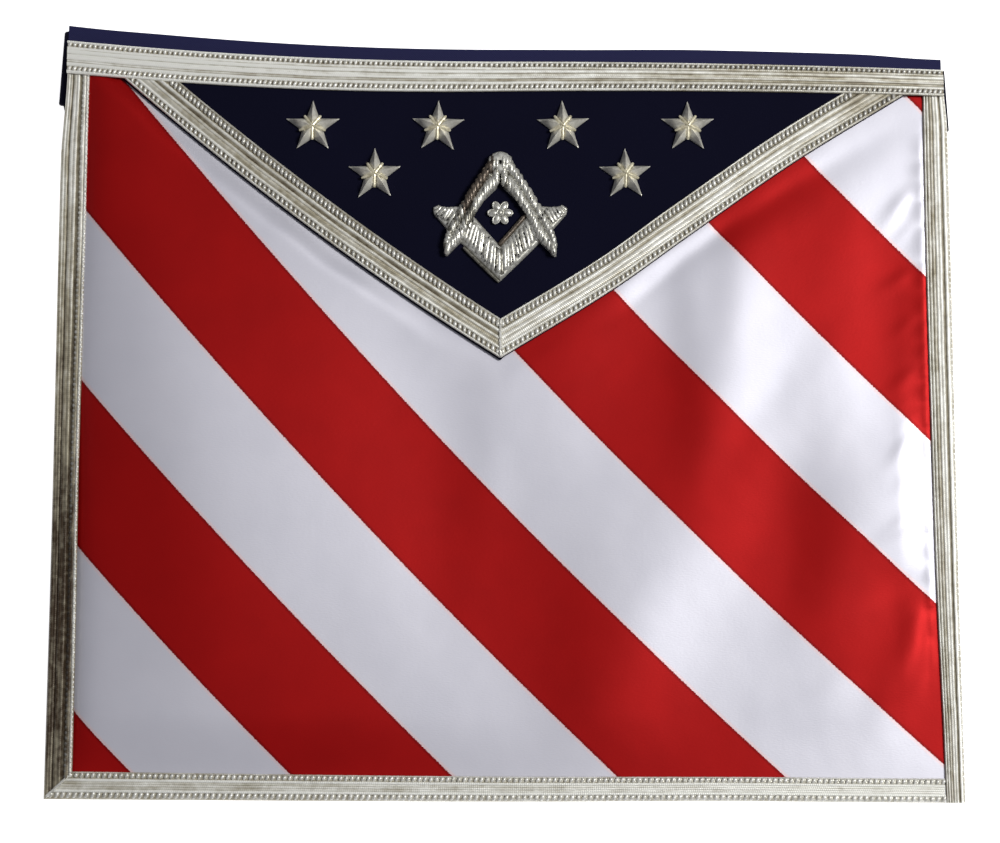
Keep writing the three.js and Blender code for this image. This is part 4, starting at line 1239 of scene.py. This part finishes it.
def makeRosette():
    bm = bmesh.new()
    cx, cy = apron["flapAxis"], rosetteLook["height"]
    reach, petals = rosetteLook["reach"], rosetteLook["petals"]
    for k in range(petals):
        angle = 2 * math.pi * k / petals
        x, y = cx + 0.60 * reach * math.cos(angle), cy + 0.60 * reach * math.sin(angle)
        addBead(bm, onFlap(x, y, 0.7), (reach * 0.82, reach * 0.58, 2.2), angle, math.radians(8), (20, 12))
        rim = []
        for j in range(13):
            a = math.radians(-150 + 25 * j)
            px, py = 0.41 * reach * math.cos(a), 0.27 * reach * math.sin(a)
            rim.append(onFlap(x + px * math.cos(angle) - py * math.sin(angle),
                              y + px * math.sin(angle) + py * math.cos(angle), 1.0))
        layWires(bm, [(rim, 0.34, 0.8)])
    addBead(bm, onFlap(cx, cy, 1.6), (2.6, 2.6, 2.2), 0, 0, (20, 12))
    ring = [onFlap(cx + 1.5 * math.cos(a), cy + 1.5 * math.sin(a), 1.7) for a in [k * math.pi / 12 for k in range(25)]]
    layWires(bm, [(ring, 0.32, 1.0)])
    return finishPiece(bm, "rosette_wires", [bullion], ["rosette"], 70)


makeSquare()
makeLeg(-1, "compass_leg_left")
makeLeg(1, "compass_leg_right")
makeHead()
makeRosette()
print("emblem ready")


# belt and clasp

beltLook = {
    "thickness": 1.2,
    "leftProud": 2.6,
    "rightProud": 1.8,
    "rightReach": 2.7,          # how far the folds stick out past the flat band
    "leftReach": 3.5,
    "rightNose": (1.0, 0.80, 1.3),      # at the folds: drop, share of the width left, lean of the edge
    "leftNose": (2.1, 0.96, 1.7),
    "backDrop": 5.0,
    "drop": 30.0,
    "frontTop": 4.9,
    "creaseLeft": 2.4,
    "creaseRight": 1.4,
    "frontRun": 150,            # stations
    "foldRun": 14,
    "backRun": 60,
}
claspLook = {
    "width": 40.0,
    "thickness": 3.4,
    "rim": 4.0,
    "bridge": 6.0,
}


def beltPath():
    thickness = beltLook["thickness"]
    foldRadius = (beltLook["frontTop"] - thickness) / 2
    rightReach, leftReach = beltLook["rightReach"], beltLook["leftReach"]
    rightFold = halfWidth + beltLook["rightProud"] - thickness / 2 - rightReach
    leftFold = -halfWidth - beltLook["leftProud"] + thickness / 2 + leftReach
    claspMiddle, floorRun = claspLook["thickness"] / 2, thickness / 2
    innerEnd = claspLook["bridge"] / 2 + clearance
    claspEdge = claspLook["width"] / 2

    def backHeight(x):
        return lerp(claspMiddle, floorRun, smoothstep(abs(x), claspEdge + clearance, claspEdge + beltLook["drop"]))

    def frontHeight(x):
        lap = halfWidth - leftBraidWidth
        return beltLook["frontTop"] - thickness / 2 + 1.2 * (1 - smoothstep(abs(x), lap - 36.0, lap))

    # stations: x, z, then how far the middle drops, how much of the width is left and how the edge leans
    path = []
    back = (beltLook["backDrop"], 1.0, 0.0)
    for k in range(beltLook["backRun"]):
        x = lerp(innerEnd, rightFold, k / beltLook["backRun"])
        path.append((x, backHeight(x), *back))
    noses = ((rightFold, rightReach, -math.pi / 2, beltLook["rightNose"]),
             (leftFold, leftReach, math.pi / 2, beltLook["leftNose"]))
    for centre, reach, start, nose in noses:
        for k in range(beltLook["foldRun"] + 1):
            turn = start + math.pi * k / beltLook["foldRun"]
            spot = (centre + reach * math.cos(turn), floorRun + foldRadius * (1 + math.sin(turn)))
            atBack, atFront = math.sin(turn) < -0.9, math.sin(turn) > 0.99
            path.append((*spot, *(back if atBack else (0.0, 1.0, 0.0) if atFront else nose)))
        if centre > 0:
            for k in range(1, beltLook["frontRun"]):
                x = lerp(rightFold, leftFold, k / beltLook["frontRun"])
                path.append((x, frontHeight(x), 0.0, 1.0, 0.0))
    for k in range(1, beltLook["backRun"] + 1):
        x = lerp(leftFold, -innerEnd, k / beltLook["backRun"])
        path.append((x, backHeight(x), *back))
    return path


def makeBelt():
    path = beltPath()
    half, thick = apron["beltWidth"] / 2, beltLook["thickness"] / 2
    section = [(a * half, thick) for a in (-0.97, -0.6, -0.2, 0.2, 0.6, 0.97)] + [(half, thick * 0.4), (half, -thick * 0.4)]
    section += [(-a, -b) for a, b in section]
    runs = [0.0]
    for a, b in zip(path, path[1:]):
        runs.append(runs[-1] + math.dist(a[:2], b[:2]))

    def placeAt(column, row):
        aside, up = section[column % len(section)]
        x, z, drop, left, slope = path[row]
        before, after = path[max(row - 1, 0)], path[min(row + 1, len(path) - 1)]
        dx, dz = after[0] - before[0], after[1] - before[1]
        length = math.hypot(dx, dz)
        middle = beltLine(min(max(x, -halfWidth), halfWidth)) - half - drop
        inward = math.copysign(slope * (0.5 + 0.5 * aside / half), x)
        return toFrame(x - inward - up * dz / length, middle + aside * left, z + up * dx / length)

    def uvAt(column, row):
        return section[column % len(section)][0], runs[row]

    bm = gridMesh(len(section), len(path) - 1, placeAt, {"weave": uvAt}, closed=True)
    # painted shade: the folds take the black velvet
    ends = (toFrame(-halfWidth + beltLook["creaseLeft"], 0, 0).x, toFrame(halfWidth - beltLook["creaseRight"], 0, 0).x)
    for face in bm.faces:
        if not ends[0] < face.calc_center_median().x < ends[1]:
            face.material_index = 1
    return finishPiece(bm, "waist_belt_webbing", [webbing, velvet], ["belt"], 50), runs[-1]


def makeClasp():
    bm = bmesh.new()
    middle = beltLine(0) - apron["beltWidth"] / 2 - beltLook["backDrop"]
    width, depth = claspLook["width"], apron["beltWidth"] + 2 * claspLook["rim"]
    thickness = claspLook["thickness"]
    bmesh.ops.create_cube(bm, size=1.0, matrix=Matrix.Diagonal((width, depth, thickness, 1)))
    upright = [e for e in bm.edges if abs(e.verts[0].co.z - e.verts[1].co.z) > 0.1]
    bmesh.ops.bevel(bm, geom=upright, offset=3.0, offset_type="OFFSET", segments=5, profile=0.5,
                    affect="EDGES", material=-1)
    for up in (1, -1):
        cap = [f for f in bm.faces if f.normal.z * up > 0.9]
        bmesh.ops.inset_region(bm, faces=cap, thickness=2.6, depth=0.0)
        bmesh.ops.inset_region(bm, faces=cap, thickness=0.5, depth=-0.6)
    rims = [e for e in bm.edges if e.calc_face_angle(0) > 0.5]
    bmesh.ops.bevel(bm, geom=rims, offset=0.3, offset_type="OFFSET", segments=2, profile=0.5,
                    affect="EDGES", material=-1)
    bmesh.ops.recalc_face_normals(bm, faces=bm.faces)
    for vert in bm.verts:
        vert.co = toFrame(vert.co.x, middle + vert.co.y, thickness / 2 + vert.co.z)
    return finishPiece(bm, "clasp_plate", [nickel], ["belt_clasp"], 30)


belt, beltLength = makeBelt()
makeClasp()
print("belt and clasp ready")


# table

def makeTable():
    bm = bmesh.new()
    bmesh.ops.create_grid(bm, x_segments=1, y_segments=1, size=3.0)
    bmesh.ops.translate(bm, verts=bm.verts, vec=(0, 0, -0.0002))
    mesh = bpy.data.meshes.new("table_top")
    bm.to_mesh(mesh)
    bm.free()
    piece = bpy.data.objects.new("table_top", mesh)
    scene.collection.objects.link(piece)
    material, tree = newMaterial("white paper")
    shader = addNode(tree, "ShaderNodeBsdfPrincipled", {
        "Base Color": hexColor("#FAFAFA"), "Roughness": 0.9, "Specular IOR Level": 0.2,
        "Emission Color": hexColor("#FFFFFF"), "Emission Strength": 0.9})
    addNode(tree, "ShaderNodeOutputMaterial", {"Surface": shader.outputs[0]})
    mesh.materials.append(material)


makeTable()

bpy.context.view_layer.update()
